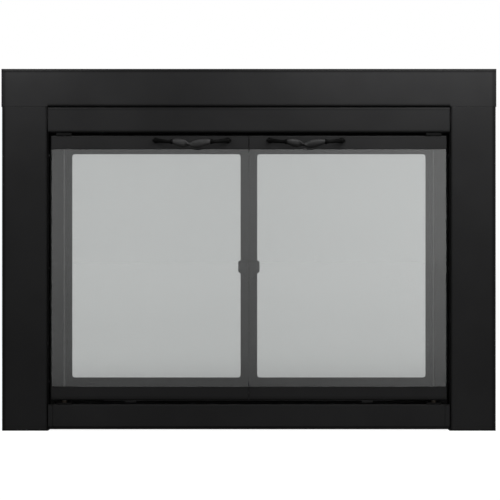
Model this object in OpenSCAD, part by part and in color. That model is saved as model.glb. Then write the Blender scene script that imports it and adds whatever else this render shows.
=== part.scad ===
// Fireplace glass door: a steel surround with two swinging glass doors,
// two mesh gates behind them and a sliding air control.
// X runs across the opening, Y goes into the firebox and Z goes up.
// The origin is on the hearth, at the middle of the wall's face.

/* [Surround] */
// Width over the header panel
overall_w = 1105; // [1000:5:1300]
// Height from the hearth to the top of the header panel
overall_h = 808; // [760:2:900]
// Height of the header panel
header_h = 84.6; // [70:0.2:120]
// How far the header panel stands past each leg panel
header_overlap = 1.4; // [0:0.1:8]
// How far the header panel stands in front of the leg panels
header_proud = 0; // [0:0.1:4]
// Width of each leg panel
leg_w = 101.6; // [80:0.2:130]
// Depth of the leg panels in front of the wall
surround_d = 45; // [42:0.5:70]
// Thickness of the steel sheet
sheet = 1.5; // [1.2:0.1:2]
// Outside radius of the sheet's bends
bend_r = 3; // [2.4:0.1:4]
// Outside radius of the long edges of the panels and the top rail
edge_r = 5.5; // [3:0.5:7]
// Outside radius of the edges where the header and the legs meet
seam_r = 0.8; // [0.4:0.1:2]
// Thickness of the insulation behind the panels
insulation_t = 12; // [6:1:16]

/* [Inner frame] */
// Height of the top rail
top_rail_h = 58.4; // [45:0.2:80]
// Height of the lower rail
lower_rail_h = 56.4; // [45:0.2:75]
// Gap below the lower rail
lower_rail_lift = 3; // [1:0.5:8]
// How far the two rails lie behind the front of the leg panels
rail_setback = 2.5; // [0.5:0.1:4]
// Width of each end piece of the lower rail
rail_end_w = 9.5; // [6:0.5:20]
// Height of the slanted toe under the lower rail
toe_h = 6.4; // [4:0.2:10]
// Width of the jamb's flange that faces the room
jamb_flange_w = 32.5; // [20:0.1:40]
// Depth of the frame behind the wall's face
frame_back_d = 60; // [50:1:90]
// Height of the sill above the hearth
sill_h = 95.5; // [93:0.5:98]
// How far the head reaches down below the top rail
head_drop = 26.5; // [22:0.5:29]
// Height of the head's upright above its flange
head_up_h = 60; // [48:1:80]

/* [Doors] */
// Gap between a door and the jamb
door_gap_side = 8.9; // [6:0.1:12]
// Air slot above the doors
slot_top_h = 6.4; // [6:0.1:10]
// Air slot below the doors
slot_bottom_h = 9.2; // [6.5:0.1:12]
// Gap between the two doors
meeting_gap = 1.6; // [1:0.1:4]
// Height of the door's rails
door_rail_h = 29.7; // [27:0.1:36]
// Depth of the door's rails
door_rail_d = 16; // [14:0.5:18]
// How far the doors lie behind the front of the leg panels
door_setback = 4; // [3:0.5:6]
// Thickness of the glass
glass_t = 5; // [4:0.5:6]
// How deep the glass reaches into a rail
glass_grip = 12; // [8:0.5:13]
// Distance from the door's outer edge to its pivot
door_pivot_inset = 28; // [24:0.5:30]
// Radius of the door's pivot pin
door_pin_r = 4; // [3:0.1:4.5]

/* [Handles] */
// Distance from the middle of the object to the middle of a handle
handle_x = 127; // [105:1:200]
// Length of a handle
handle_l = 176; // [150:1:200]
// Length of the grip between its collars
grip_l = 84; // [60:1:100]
// Half the height of each of the grip's two leaves
leaf_h = 10; // [6:0.1:11]
// Half the thickness of each leaf
leaf_t = 5.2; // [3:0.1:6]
// How far the grip stands off the door
handle_reach = 32; // [28:0.5:45]
// How far the grip's middle hangs below the handle's feet
handle_sag = 11; // [7:0.5:12]
// Height of the handle's feet above the rail's lower edge
foot_up = 19.6; // [19:0.1:20.5]

/* [Mesh gates] */
// Thickness of a gate
gate_t = 8; // [6:0.5:9]
// Distance of the gates behind the wall's face
gate_back = 4; // [3:0.5:6]
// Gap between a gate and the jamb
gate_gap_side = 2.5; // [2:0.5:9]
// Gap above and below a gate
gate_gap_end = 1; // [0.8:0.1:2]
// Gap between the two gates
gate_meeting = 1.5; // [1:0.1:3]
// Width of the gate's outer stile
gate_outer_w = 16; // [14:0.5:19]
// Width of the gate's inner stile
gate_inner_w = 18; // [14:0.5:24]
// Height of the gate's top rail
gate_top_w = 18; // [15:0.5:24]
// Height of the gate's bottom rail
gate_bottom_w = 19.7; // [15:0.1:26]
// Thickness of the gate's sheet
gate_sheet = 1.2; // [1:0.1:1.5]
// Distance from the gate's outer edge to its pivot
gate_pivot_inset = 23.5; // [22:0.5:28]
// Radius of the gate's pivot pin
gate_pin_r = 3; // [2.5:0.1:3.3]
// Gaps across one mesh panel
mesh_across = 10; // [4:1:10]
// Gaps up one mesh panel
mesh_up = 14; // [6:1:14]
// Width of the mesh's wires
wire_w = 1.8; // [1.2:0.1:3]
// Width of a gate's pull
pull_w = 21; // [16:0.5:26]
// Height of a gate's pull
pull_h = 28; // [20:0.5:40]
// Height of the pulls' lower edge above the hearth
pull_z = 352; // [250:1:450]
// How far a pull stands in front of its gate
pull_reach = 14; // [10:0.5:16]

/* [Air control] */
// Length of an air slot
air_slot_l = 24; // [16:1:26]
// Height of an air slot
air_slot_h = 10; // [6:0.5:12]
// Distance from one air slot to the next
air_pitch = 54; // [54:1:58]
// Height of the sliding strip
slide_h = 22; // [20:0.5:22.5]
// Radius of the air control's knob
knob_r = 7.5; // [5:0.5:9]

/* [Fasteners and brackets] */
// Width of a door's pivot bracket
pivot_bracket_w = 34; // [32:1:40]
// Thickness of the pivot brackets
pivot_bracket_t = 3; // [2.5:0.1:3.2]
// Radius of the frame's screws
screw_r = 2.5; // [2:0.1:3]
// Radius of the anchor holes in the hearth brackets
anchor_r = 3.5; // [3:0.1:5]
// Distance between the two anchor holes of a hearth bracket
anchor_pitch = 20; // [14:1:22]
// Distance from the middle of the object to each lintel clamp
clamp_x = 250; // [150:5:340]

/* [Hidden] */
bend_steps = 7;

// Clearances
touch_gap = 0.3;    // between pieces that move past each other
hole_gap = 0.05;    // around a screw or a pin in its hole
fit_gap = 0.05;     // running fit of a pivot pin in its bush
part_gap = 1.6;     // between neighbouring panels
pivot_gap = 0.6;    // between a door's rail and its bush

// Levels and faces of the surround
front_y = -surround_d;
header_z = overall_h - header_h;
leg_out = overall_w / 2 - header_overlap;
leg_in = leg_out - leg_w;
rail_y = front_y + rail_setback;
rail_half = leg_in - part_gap;
jamb_wall_in = leg_in - sheet;
jamb_in = leg_in - jamb_flange_w;
top_rail_z = header_z - top_rail_h;
lower_rail_z = lower_rail_lift + lower_rail_h;
lower_mid_half = rail_half - rail_end_w - part_gap;
head_z = top_rail_z - head_drop;
jamb_front_y = rail_y + 7.5;
jamb_lip = 14;      // width of the jamb's lip at the back
inner_d = frame_back_d - sheet;

// Levels and faces of the doors, given for the right-hand door
door_in = meeting_gap / 2;
door_out = leg_in - door_gap_side;
door_z0 = lower_rail_z + slot_bottom_h;
door_z1 = top_rail_z - slot_top_h;
door_y = front_y + door_setback;
door_back_y = door_y + door_rail_d;
door_pivot_x = door_out - door_pivot_inset;
door_pivot_y = door_y + door_rail_d / 2;
glass_y0 = door_pivot_y - glass_t / 2;
glass_y1 = door_pivot_y + glass_t / 2;
glass_z0 = door_z0 + door_rail_h - glass_grip;
glass_z1 = door_z1 - door_rail_h + glass_grip;
gasket_end = 2;     // gasket past the glass's edge
gasket_lip = 2;     // gasket set back from the rail's edge
back_drop = 4;      // how much shorter a rail's back wall is
screw_xs = [for (k = [0.2, 0.5, 0.8]) door_in + k * (door_out - door_in)];

// Levels and faces of the mesh gates, given for the right-hand gate
gate_in = gate_meeting / 2;
gate_out = jamb_in - gate_gap_side;
gate_z0 = sill_h + gate_gap_end;
gate_z1 = head_z - gate_gap_end;
gate_y = gate_back;
gate_back_y = gate_y + gate_t;
gate_mid_y = gate_y + gate_t / 2;
gate_pivot_x = gate_out - gate_pivot_inset;
mesh_x0 = gate_in + gate_inner_w;
mesh_x1 = gate_out - gate_outer_w;
mesh_z0 = gate_z0 + gate_bottom_w;
mesh_z1 = gate_z1 - gate_top_w;
mesh_hem = 9;       // hem of the mesh, held in the channels
gate_tail_r = gate_t / 2 - gate_sheet - 0.1;

// Handle
handle_foot_z = door_z1 - door_rail_h + foot_up;
foot_r = 6.5;
foot_l = 6;
foot_inset = 8;     // from the handle's tip to its foot's middle
handle_foot_xs = [-1, 1] * (handle_l / 2 - foot_inset);
collar_l = 5;
collar_r = 6.4;
collar_drop = 5;    // how far a collar lies below the handle's feet
grip_y = door_y - handle_reach;
grip_z = handle_foot_z - handle_sag;
collar_z = handle_foot_z - collar_drop;
neck_h = 4.4;       // half-height of the grip at its ends and its middle
neck_t = 3.9;       // half-thickness there
leaf_tilt = 14;     // how far the leaves lean back
twist_at = 0.42;    // where the half twist lies along the grip
wing_x0 = grip_l / 2 + collar_l;
handle_screw_depth = 5.5;

// Pivots
door_bush_r = door_pin_r + 2.5;
gate_bush_r = gate_pin_r + 2;
bush_flange_w = 0.8; // small enough to clear the lip of the bracket
bracket_front_y = rail_y + 0.5;
bush_past = 3;      // how far a gate's bush reaches past the sheet
pin_head_w = 0.9;   // small enough to clear the bends inside a door's rail
pin_head_t = 2;
bracket_screw_r = 2;
bracket_screw_y = -16;
bracket_screw_dx = pivot_bracket_w / 2 - 5;

// Glass clamps and magnetic catches
clamp_hole_r = 2;
clamp_z_top = glass_z1 - 4;
clamp_z_bottom = glass_z0 + 4;
pole_t = 1.5;
strike_t = 1.2;
strike_y = door_back_y + strike_t;

// Air control
slide_z = lower_rail_z + 5.4;
slide_y0 = -touch_gap - sheet;
air_slots = 12;
slide_half = (air_slots - 1) / 2 * air_pitch + air_slot_l / 2 + 18;
guide_xs = [-1, 1] * (slide_half - 60);
knob_l = 9;
knob_y = slide_y0 - 15.2;

// Fasteners
bolt_y = front_y / 2;
bolt_xs = [clamp_x, (leg_in + leg_out) / 2];
nut_h = 4;
jamb_screw_zs = [for (k = [0.15, 0.5, 0.85]) k * header_z];
bracket_y0 = 20;
bracket_d = 36;
bracket_h = 60;
bracket_t = 3;
bracket_mid_y = bracket_y0 + bracket_d / 2;
hearth_screw_zs = [bracket_h - 14, bracket_h - 34];
foot_w = 38;
anchor_x = jamb_in - 25;
clamp_w = 30;
clamp_h = 60;
clamp_d = 34;
clamp_y1 = frame_back_d - 2;
clamp_foot_screw_y = clamp_y1 - 22;
clamp_screw_z = head_z + sheet + clamp_h - 14;
clamp_screw_r = 3;
clamp_pad_r = 6;
clamp_pad_y = 12;
clamp_knob_r = 10;
clamp_knob_y = clamp_y1 + 10;
clamp_knob_t = 7.5;
magnet_x = 30;      // inner face of each magnet's housing
magnet_w = 40;
magnet_h = 12;
magnet_z = head_z + 3;
stop_t = 1.5;
stop_half = 7;
stop_foot = 18;

// ---- Helpers ----

// A block between two corners
module block(a, b) {
    translate(a) cube(b - a);
}

// The children as drawn for the right, or mirrored for the left
module side(s) {
    mirror([s < 0 ? 1 : 0, 0, 0]) children();
}

// The children on both sides
module both() {
    side(1) children();
    side(-1) children();
}

function unit(v) = v / norm(v);
function turned(v, a) = [v.x * cos(a) - v.y * sin(a), v.x * sin(a) + v.y * cos(a)];
function left_of(v) = [-v.y, v.x];
function turn_angle(a, b) = atan2(a.x * b.y - a.y * b.x, a * b);

// Points and normals of one bend at p, from direction a to direction b, at radius r
function bend_points(p, a, b, r) =
    let (turn = turn_angle(a, b), hand = turn > 0 ? 1 : -1,
         reach = r * tan(abs(turn) / 2),
         centre = p - a * reach + left_of(a) * hand * r)
    [for (k = [0 : bend_steps]) let (n = turned(left_of(a), turn * k / bend_steps))
        [centre - n * hand * r, n]];

// Centre line of a bent sheet, as points with their normals
function sheet_line(path, r) = concat(
    [[path[0], left_of(unit(path[1] - path[0]))]],
    [for (i = [1 : 1 : len(path) - 2])
        each bend_points(path[i], unit(path[i] - path[i - 1]), unit(path[i + 1] - path[i]), r)],
    [[path[len(path) - 1], left_of(unit(path[len(path) - 1] - path[len(path) - 2]))]]
);

// Outline of a sheet of thickness t, bent along a path with the outside radius r
module bent_sheet(path, t, r = bend_r) {
    line = sheet_line(path, r - sheet / 2);
    polygon(concat(
        [for (q = line) q[0] + q[1] * t / 2],
        [for (i = [len(line) - 1 : -1 : 0]) line[i][0] - line[i][1] * t / 2]
    ));
}

// Length of a profile drawn in Y and Z, along X
module along_x(x0, x1) {
    translate([x0, 0, 0]) rotate([90, 0, 90]) linear_extrude(x1 - x0) children();
}

// Length of a profile drawn in X and Y, along Z
module along_z(z0, z1) {
    translate([0, 0, z0]) linear_extrude(z1 - z0) children();
}

// A rectangle from a to b whose two corners on its low y side have the radii r0 and r1
module front_rounded(a, b, r0, r1) {
    translate([a.x + r0, a.y]) square([b.x - a.x - r0 - r1, b.y - a.y]);
    translate([a.x, a.y + r0]) square([r0, b.y - a.y - r0]);
    translate([b.x - r1, a.y + r1]) square([r1, b.y - a.y - r1]);
    translate([a.x + r0, a.y + r0]) circle(r0, $fn = 48);
    translate([b.x - r1, a.y + r1]) circle(r1, $fn = 48);
}

// What comes off an edge at p, drawn in Y and Z, to give it the radius r
module edge_cut(p, r) {
    translate(p) difference() {
        translate([-1, -1]) square(r + 1);
        translate([r, r]) circle(r, $fn = 48);
    }
}

// A solid block from a to b with its front edges round: r at the sides, z0_r below, z1_r above
module front_block(a, b, r, z0_r, z1_r) {
    intersection() {
        along_z(a.z, b.z) front_rounded([a.x, a.y], [b.x, b.y], r, r);
        translate([a.x, 0, 0]) rotate([90, 0, 90]) linear_extrude(b.x - a.x)
            rotate(90) mirror([0, 1]) front_rounded([a.z, a.y], [b.z, b.y], z0_r, z1_r);
    }
}

function inner_radius(r) = max(0.2, r - sheet);

// A panel that is folded back on all four sides and open at the wall
module tray(a, b, z0_r, z1_r) {
    difference() {
        front_block(a, b, edge_r, z0_r, z1_r);
        front_block(a + [sheet, sheet, sheet], b + [-sheet, 1, -sheet],
                    inner_radius(edge_r), inner_radius(z0_r), inner_radius(z1_r));
    }
}

// A round rod of radius r from point p, along axis "x", "y" or "z", of length l
module rod(p, axis, r, l) {
    turn = axis == "x" ? [0, 90, 0] : axis == "y" ? [-90, 0, 0] : [0, 0, 0];
    translate(p) rotate(turn) cylinder(l, r, r, $fn = 48);
}

// A pan-head screw at p whose head grows along the axis and whose shank runs the other way
module screw(p, axis, hand, r, shank) {
    turn = axis == "x" ? [0, 90 * hand, 0]
        : axis == "y" ? [-90 * hand, 0, 0]
        : [hand > 0 ? 0 : 180, 0, 0];
    translate(p) rotate(turn) rotate_extrude($fn = 48) polygon([
        [0, -shank], [r, -shank], [r, 0], [1.75 * r, 0],
        [1.75 * r, 0.45 * r], [1.35 * r, 0.8 * r], [0, 0.8 * r]
    ]);
}

// A solid through rings of points; each ring has the same count
module loft(rings) {
    n = len(rings[0]);
    m = len(rings);
    polyhedron(
        points = [for (ring = rings) each ring],
        faces = concat(
            [[for (i = [0 : n - 1]) i]],
            [for (j = [0 : m - 2], i = [0 : n - 1])
                let (a = j * n + i, b = j * n + (i + 1) % n)
                each [[a, a + n, b], [b, a + n, b + n]]],
            [[for (i = [n - 1 : -1 : 0]) (m - 1) * n + i]]
        )
    );
}

// A ring of n points about c, half as wide as w along u and as h along v
function ring(c, u, w, v, h, n) =
    [for (i = [0 : n - 1]) c + u * w * cos(360 * i / n) + v * h * sin(360 * i / n)];

// ---- Surround ----

// Its lower edge is square over the legs and round between them
module header_panel() {
    y0 = front_y - header_proud;
    color([0.06, 0.06, 0.06]) difference() {
        union() {
            tray([-overall_w / 2, y0, header_z], [overall_w / 2, 0, overall_h], seam_r, edge_r);
            along_x(-leg_in, leg_in) difference() {
                translate([y0 + sheet / 2, header_z + sheet / 2]) square(edge_r - sheet / 2);
                translate([y0 + edge_r, header_z + edge_r])
                    circle(inner_radius(edge_r), $fn = 48);
            }
        }
        along_x(-leg_in, leg_in) edge_cut([y0, header_z], edge_r);
        both() for (x = bolt_xs)
            rod([x, bolt_y, header_z - 1], "z", screw_r + hole_gap, sheet + 2);
    }
}

module leg_panel(s) {
    color([0.05, 0.05, 0.05]) side(s) difference() {
        tray([leg_in, front_y, 0], [leg_out, 0, header_z], edge_r, seam_r);
        rod([bolt_xs[1], bolt_y, header_z - sheet - 1], "z", screw_r + hole_gap, sheet + 2);
        jamb_screw_holes();
    }
}

// Front wall of a rail with a flange back to the frame above and below
module top_rail_outline() {
    mid = sheet / 2;
    bent_sheet([
        [-sheet, top_rail_z + mid], [rail_y + mid, top_rail_z + mid],
        [rail_y + mid, header_z - mid], [-sheet, header_z - mid]
    ], sheet, edge_r);
}

// The slanted toe below the lower rail's front wall, as points of its middle line
function toe_points() = let (mid = sheet / 2, z0 = lower_rail_lift + mid)
    [[rail_y + mid + toe_h, z0], [rail_y + mid, z0 + toe_h]];

module lower_rail_outline() {
    mid = sheet / 2;
    bent_sheet(concat(
        [[-sheet, lower_rail_lift + mid]], toe_points(),
        [[rail_y + mid, lower_rail_z - mid], [-sheet, lower_rail_z - mid]]
    ), sheet);
}

module top_rail() {
    color([0.06, 0.06, 0.06]) difference() {
        along_x(-rail_half, rail_half) top_rail_outline();
        both() {
            block([jamb_wall_in - touch_gap, rail_y + sheet, top_rail_z - 1],
                  [rail_half + 1, 1, header_z + 1]);
            rod([bolt_xs[0], bolt_y, header_z - sheet - 1], "z", screw_r + hole_gap, sheet + 2);
            bracket_screw_holes(top_rail_z - 1, sheet + 2);
        }
    }
}

module lower_rail() {
    color([0.05, 0.05, 0.05]) difference() {
        along_x(-lower_mid_half, lower_mid_half) lower_rail_outline();
        both() bracket_screw_holes(lower_rail_z - sheet - 1, sheet + 2);
    }
}

// End piece of the lower rail, with a tab behind the rail's front wall
module lower_rail_ends() {
    color([0.05, 0.05, 0.05]) both() {
        front_x = lower_mid_half + part_gap;
        difference() {
            along_x(front_x, rail_half)
                bent_sheet(concat(toe_points(), [[rail_y + sheet / 2, lower_rail_z]]), sheet);
            block([jamb_wall_in - touch_gap, rail_y + sheet, 0], [rail_half + 1, 0, lower_rail_z]);
        }
        block([front_x - 14, rail_y + sheet, lower_rail_lift + toe_h + bend_r],
              [jamb_wall_in - touch_gap, rail_y + 2 * sheet, lower_rail_z - bend_r]);
    }
}

// ---- Inner frame ----

module jamb_screw_holes() {
    for (z = jamb_screw_zs)
        rod([jamb_wall_in - 1, bolt_y, z], "x", screw_r + hole_gap, 2 * sheet + 2);
}

module jamb(s) {
    mid = sheet / 2;
    color([0.08, 0.08, 0.08]) side(s) difference() {
        along_z(0, header_z - sheet - touch_gap) bent_sheet([
            [leg_in - mid, jamb_front_y], [leg_in - mid, mid],
            [jamb_in + mid, mid], [jamb_in + mid, frame_back_d - mid],
            [jamb_in - jamb_lip, frame_back_d - mid]
        ], sheet);
        jamb_screw_holes();
        for (z = hearth_screw_zs)
            rod([jamb_in - 1, bracket_mid_y, z], "x", screw_r + hole_gap, sheet + 2);
    }
}

module head_channel() {
    mid = sheet / 2;
    color([0.08, 0.08, 0.08]) difference() {
        along_x(-jamb_in, jamb_in) bent_sheet([
            [mid, head_z + head_up_h], [mid, head_z + mid], [inner_d, head_z + mid]
        ], sheet);
        both() {
            rod([gate_pivot_x, gate_mid_y, head_z - 1], "z", gate_bush_r + hole_gap, sheet + 2);
            clamp_screw_holes(head_z - 1, sheet + 2);
        }
    }
}

module sill_riser() {
    mid = sheet / 2;
    color([0.08, 0.08, 0.08]) difference() {
        along_x(-jamb_in, jamb_in) bent_sheet([
            [mid, sheet], [mid, sill_h - mid], [inner_d, sill_h - mid]
        ], sheet);
        both() rod([gate_pivot_x, gate_mid_y, sill_h - sheet - 1], "z",
                   gate_bush_r + hole_gap, sheet + 2);
        air_slot_row(-1, sheet + 1);
    }
}

module hearth_plate() {
    color([0.08, 0.08, 0.08])
        block([-jamb_in, 0, 0], [jamb_in, bracket_y0 - 2, sheet]);
}

// Upright strip that both gates close against, with a foot at each end
module gate_stop() {
    y0 = gate_back_y + touch_gap;
    mid = stop_t / 2;
    color([0.1, 0.1, 0.1]) along_x(-stop_half, stop_half) bent_sheet([
        [y0 + stop_foot, sill_h + mid], [y0 + mid, sill_h + mid],
        [y0 + mid, head_z - mid], [y0 + stop_foot, head_z - mid]
    ], stop_t);
}

// ---- Air control ----

module air_slot_row(y0, y1) {
    z0 = slide_z + (slide_h - air_slot_h) / 2;
    for (i = [0 : air_slots - 1]) {
        x = (i - (air_slots - 1) / 2) * air_pitch;
        block([x - air_slot_l / 2, y0, z0], [x + air_slot_l / 2, y1, z0 + air_slot_h]);
    }
}

module draft_slide() {
    color([0.1, 0.1, 0.1]) difference() {
        block([-slide_half, slide_y0, slide_z], [slide_half, -touch_gap, slide_z + slide_h]);
        air_slot_row(slide_y0 - 1, 0);
    }
}

module draft_knob() {
    z = slide_z + slide_h / 2;
    color([0.05, 0.05, 0.05]) translate([0, knob_y, z]) rotate([-90, 0, 0])
        rotate_extrude($fn = 48) polygon([
            [0, 0], [knob_r - 1.5, 0], [knob_r, 1.5], [knob_r, knob_l - 1], [knob_r - 1, knob_l],
            [3, knob_l], [3, slide_y0 - knob_y], [0, slide_y0 - knob_y]
        ]);
}

// Clips that hold the strip against the riser at its upper and lower edges
module draft_guides() {
    lip_y = slide_y0 - touch_gap;
    color([0.12, 0.12, 0.12]) for (x = guide_xs) {
        z0 = slide_z - touch_gap;
        z1 = slide_z + slide_h + touch_gap;
        block([x - 12, lip_y - sheet, z0 - 4], [x + 12, 0, z0]);
        block([x - 12, lip_y - sheet, z0], [x + 12, lip_y, z0 + 3]);
        block([x - 12, lip_y - sheet, z1], [x + 12, 0, z1 + 4]);
        block([x - 12, lip_y - sheet, z1 - 3], [x + 12, lip_y, z1]);
    }
}

// ---- Fasteners and brackets of the surround ----

module surround_bolts() {
    color([0.45, 0.45, 0.47]) both() for (x = bolt_xs)
        screw([x, bolt_y, header_z + sheet], "z", 1, screw_r, 2 * sheet + 5);
}

module surround_nuts() {
    color([0.45, 0.45, 0.47]) both() for (x = bolt_xs)
        translate([x, bolt_y, header_z - sheet - nut_h]) difference() {
            cylinder(nut_h, 1.9 * screw_r, 1.9 * screw_r, $fn = 6);
            rod([0, 0, -1], "z", screw_r + hole_gap, nut_h + 2);
        }
}

module jamb_screws() {
    color([0.1, 0.1, 0.1]) both() for (z = jamb_screw_zs)
        screw([jamb_wall_in, bolt_y, z], "x", -1, screw_r, 2 * sheet + 4);
}

module hearth_brackets() {
    y1 = bracket_y0 + bracket_d;
    color([0.4, 0.4, 0.42]) both() difference() {
        union() {
            block([jamb_in - foot_w, bracket_y0, 0], [jamb_in, y1, bracket_t]);
            block([jamb_in - bracket_t, bracket_y0, 0], [jamb_in, y1, bracket_h]);
        }
        for (y = [-1, 1] * anchor_pitch / 2)
            rod([anchor_x, bracket_mid_y + y, -1], "z", anchor_r, bracket_t + 2);
        for (z = hearth_screw_zs)
            rod([jamb_in - bracket_t - 1, bracket_mid_y, z], "x",
                screw_r + hole_gap, bracket_t + 2);
    }
}

module clamp_screw_holes(z, l) {
    rod([clamp_x, clamp_foot_screw_y, z], "z", screw_r + hole_gap, l);
}

// Angle on the head that carries a screw to press against the lintel's back
module lintel_clamps() {
    z0 = head_z + sheet;
    color([0.4, 0.4, 0.42]) both() difference() {
        union() {
            block([clamp_x - clamp_w / 2, clamp_y1 - clamp_d, z0],
                  [clamp_x + clamp_w / 2, clamp_y1, z0 + bracket_t]);
            block([clamp_x - clamp_w / 2, clamp_y1 - bracket_t, z0],
                  [clamp_x + clamp_w / 2, clamp_y1, z0 + clamp_h]);
        }
        clamp_screw_holes(z0 - 1, bracket_t + 2);
        rod([clamp_x, clamp_y1 - bracket_t - 1, clamp_screw_z], "y",
            clamp_screw_r + hole_gap, bracket_t + 2);
    }
}

// Screw with a pad at its front end and a knob at its back end
module lintel_screws() {
    shank = clamp_knob_y - clamp_pad_y;
    edge = 1.5;
    color([0.5, 0.5, 0.52]) both() translate([clamp_x, clamp_pad_y, clamp_screw_z])
        rotate([-90, 0, 0]) rotate_extrude($fn = 48) polygon([
            [0, 0], [clamp_pad_r, 0], [clamp_pad_r, 3], [clamp_screw_r, 4],
            [clamp_screw_r, shank], [clamp_knob_r, shank],
            [clamp_knob_r, shank + clamp_knob_t - edge],
            [clamp_knob_r - edge, shank + clamp_knob_t], [0, shank + clamp_knob_t]
        ]);
}

module bracket_screws() {
    color([0.45, 0.45, 0.47]) both() {
        for (z = hearth_screw_zs)
            screw([jamb_in - bracket_t, bracket_mid_y, z], "x", -1,
                  screw_r, bracket_t + sheet + 3);
        screw([clamp_x, clamp_foot_screw_y, head_z + sheet + bracket_t], "z", 1,
              screw_r, bracket_t + sheet + 3);
    }
}

// ---- Pivots of the doors and gates ----

module bracket_screw_holes(z, l) {
    for (dx = [-1, 1] * bracket_screw_dx)
        rod([door_pivot_x + dx, bracket_screw_y, z], "z", bracket_screw_r + hole_gap, l);
}

module pivot_bracket(z0) {
    difference() {
        block([door_pivot_x - pivot_bracket_w / 2, bracket_front_y, z0],
              [door_pivot_x + pivot_bracket_w / 2, bracket_screw_y + 6, z0 + pivot_bracket_t]);
        bracket_screw_holes(z0 - 1, pivot_bracket_t + 2);
        rod([door_pivot_x, door_pivot_y, z0 - 1], "z", door_bush_r + hole_gap,
            pivot_bracket_t + 2);
    }
}

// The upper brackets have a lip in front that covers the pivot
module door_pivot_brackets() {
    color([0.12, 0.12, 0.12]) both() {
        pivot_bracket(top_rail_z - pivot_bracket_t);
        block([door_pivot_x - pivot_bracket_w / 2, bracket_front_y, door_z1 + pivot_gap],
              [door_pivot_x + pivot_bracket_w / 2, bracket_front_y + sheet,
               top_rail_z - pivot_bracket_t]);
        pivot_bracket(lower_rail_z);
    }
}

module pivot_bracket_screws() {
    shank = pivot_bracket_t + sheet + 2;
    color([0.1, 0.1, 0.1]) both() for (dx = [-1, 1] * bracket_screw_dx) {
        x = door_pivot_x + dx;
        screw([x, bracket_screw_y, top_rail_z - pivot_bracket_t], "z", -1,
              bracket_screw_r, shank);
        screw([x, bracket_screw_y, lower_rail_z + pivot_bracket_t], "z", 1,
              bracket_screw_r, shank);
    }
}

// A flanged bush that stands on z0 with its flange from z1 to z2
module bush(x, y, z0, z1, z2, outer, inner) {
    translate([x, y, 0]) difference() {
        union() {
            rod([0, 0, min(z0, z1)], "z", outer, abs(z1 - z0));
            rod([0, 0, min(z1, z2)], "z", outer + bush_flange_w, abs(z2 - z1));
        }
        rod([0, 0, min(z0, z2) - 1], "z", inner + fit_gap, abs(z2 - z0) + 2);
    }
}

module door_bushes() {
    color([0.35, 0.3, 0.24]) both() {
        bush(door_pivot_x, door_pivot_y, top_rail_z, top_rail_z - pivot_bracket_t,
             door_z1 + pivot_gap, door_bush_r, door_pin_r);
        bush(door_pivot_x, door_pivot_y, lower_rail_z, lower_rail_z + pivot_bracket_t,
             door_z0 - pivot_gap, door_bush_r, door_pin_r);
    }
}

module gate_bushes() {
    color([0.35, 0.3, 0.24]) both() {
        bush(gate_pivot_x, gate_mid_y, head_z + sheet + bush_past, head_z,
             gate_z1 + touch_gap, gate_bush_r, gate_pin_r);
        bush(gate_pivot_x, gate_mid_y, sill_h - sheet - bush_past, sill_h,
             gate_z0 - touch_gap, gate_bush_r, gate_pin_r);
    }
}

// ---- Magnetic catches ----

module magnet_poles() {
    color([0.6, 0.6, 0.62]) both() for (k = [0.3, 0.7])
        block([magnet_x + k * magnet_w - pole_t / 2, strike_y + touch_gap, magnet_z + 2],
              [magnet_x + k * magnet_w + pole_t / 2, -4, magnet_z + magnet_h - 2]);
}

module magnet_housings() {
    color([0.08, 0.08, 0.08]) both() difference() {
        block([magnet_x, strike_y + touch_gap + 1.5, magnet_z],
              [magnet_x + magnet_w, 0, magnet_z + magnet_h]);
        for (k = [0.3, 0.7])
            block([magnet_x + k * magnet_w - pole_t / 2, strike_y, magnet_z + 2],
                  [magnet_x + k * magnet_w + pole_t / 2, -4, magnet_z + magnet_h - 2]);
    }
}

module strike_plate(s) {
    color([0.6, 0.6, 0.62]) side(s)
        block([magnet_x, door_back_y, magnet_z], [magnet_x + magnet_w, strike_y, magnet_z + magnet_h]);
}

// ---- Insulation ----

module leg_insulation(s) {
    gap = sheet + touch_gap;
    color([0.9, 0.85, 0.6]) side(s)
        block([leg_in + gap, -insulation_t, gap], [leg_out - gap, 0, header_z - gap]);
}

module top_insulation() {
    gap = sheet + touch_gap;
    color([0.9, 0.85, 0.6])
        block([-overall_w / 2 + gap, -insulation_t, header_z + gap],
              [overall_w / 2 - gap, 0, overall_h - gap]);
}

// ---- Doors, drawn for the right-hand side ----

// Outline of the door's top rail: a channel open downwards, its back wall shorter
module door_rail_outline(z_open, z_web) {
    mid = sheet / 2;
    hand = z_web > z_open ? 1 : -1;
    bent_sheet([
        [door_y + mid, z_open], [door_y + mid, z_web - hand * mid],
        [door_back_y - mid, z_web - hand * mid], [door_back_y - mid, z_open + hand * back_drop]
    ], sheet);
}

module clamp_screw_holes_at(z) {
    for (x = screw_xs)
        rod([x, door_back_y - sheet - 1, z], "y", clamp_hole_r + hole_gap, sheet + 2);
}

module door_top_rail(s) {
    color([0.1, 0.1, 0.1]) side(s) difference() {
        along_x(door_in, door_out) door_rail_outline(door_z1 - door_rail_h, door_z1);
        rod([door_pivot_x, door_pivot_y, door_z1 - sheet - 1], "z",
            door_pin_r + hole_gap, sheet + 2);
        clamp_screw_holes_at(clamp_z_top);
        for (x = handle_foot_xs)
            rod([handle_x + x, door_y - 1, handle_foot_z], "y", screw_r + hole_gap, sheet + 2);
    }
}

module door_bottom_rail(s) {
    color([0.09, 0.09, 0.09]) side(s) difference() {
        along_x(door_in, door_out) door_rail_outline(door_z0 + door_rail_h, door_z0);
        rod([door_pivot_x, door_pivot_y, door_z0 - 1], "z",
            door_pin_r + hole_gap, sheet + 2);
        clamp_screw_holes_at(clamp_z_bottom);
    }
}

module door_glass(s) {
    color([0.25, 0.28, 0.27, 0.5]) side(s)
        block([door_in, glass_y0, glass_z0], [door_out, glass_y1, glass_z1]);
}

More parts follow.
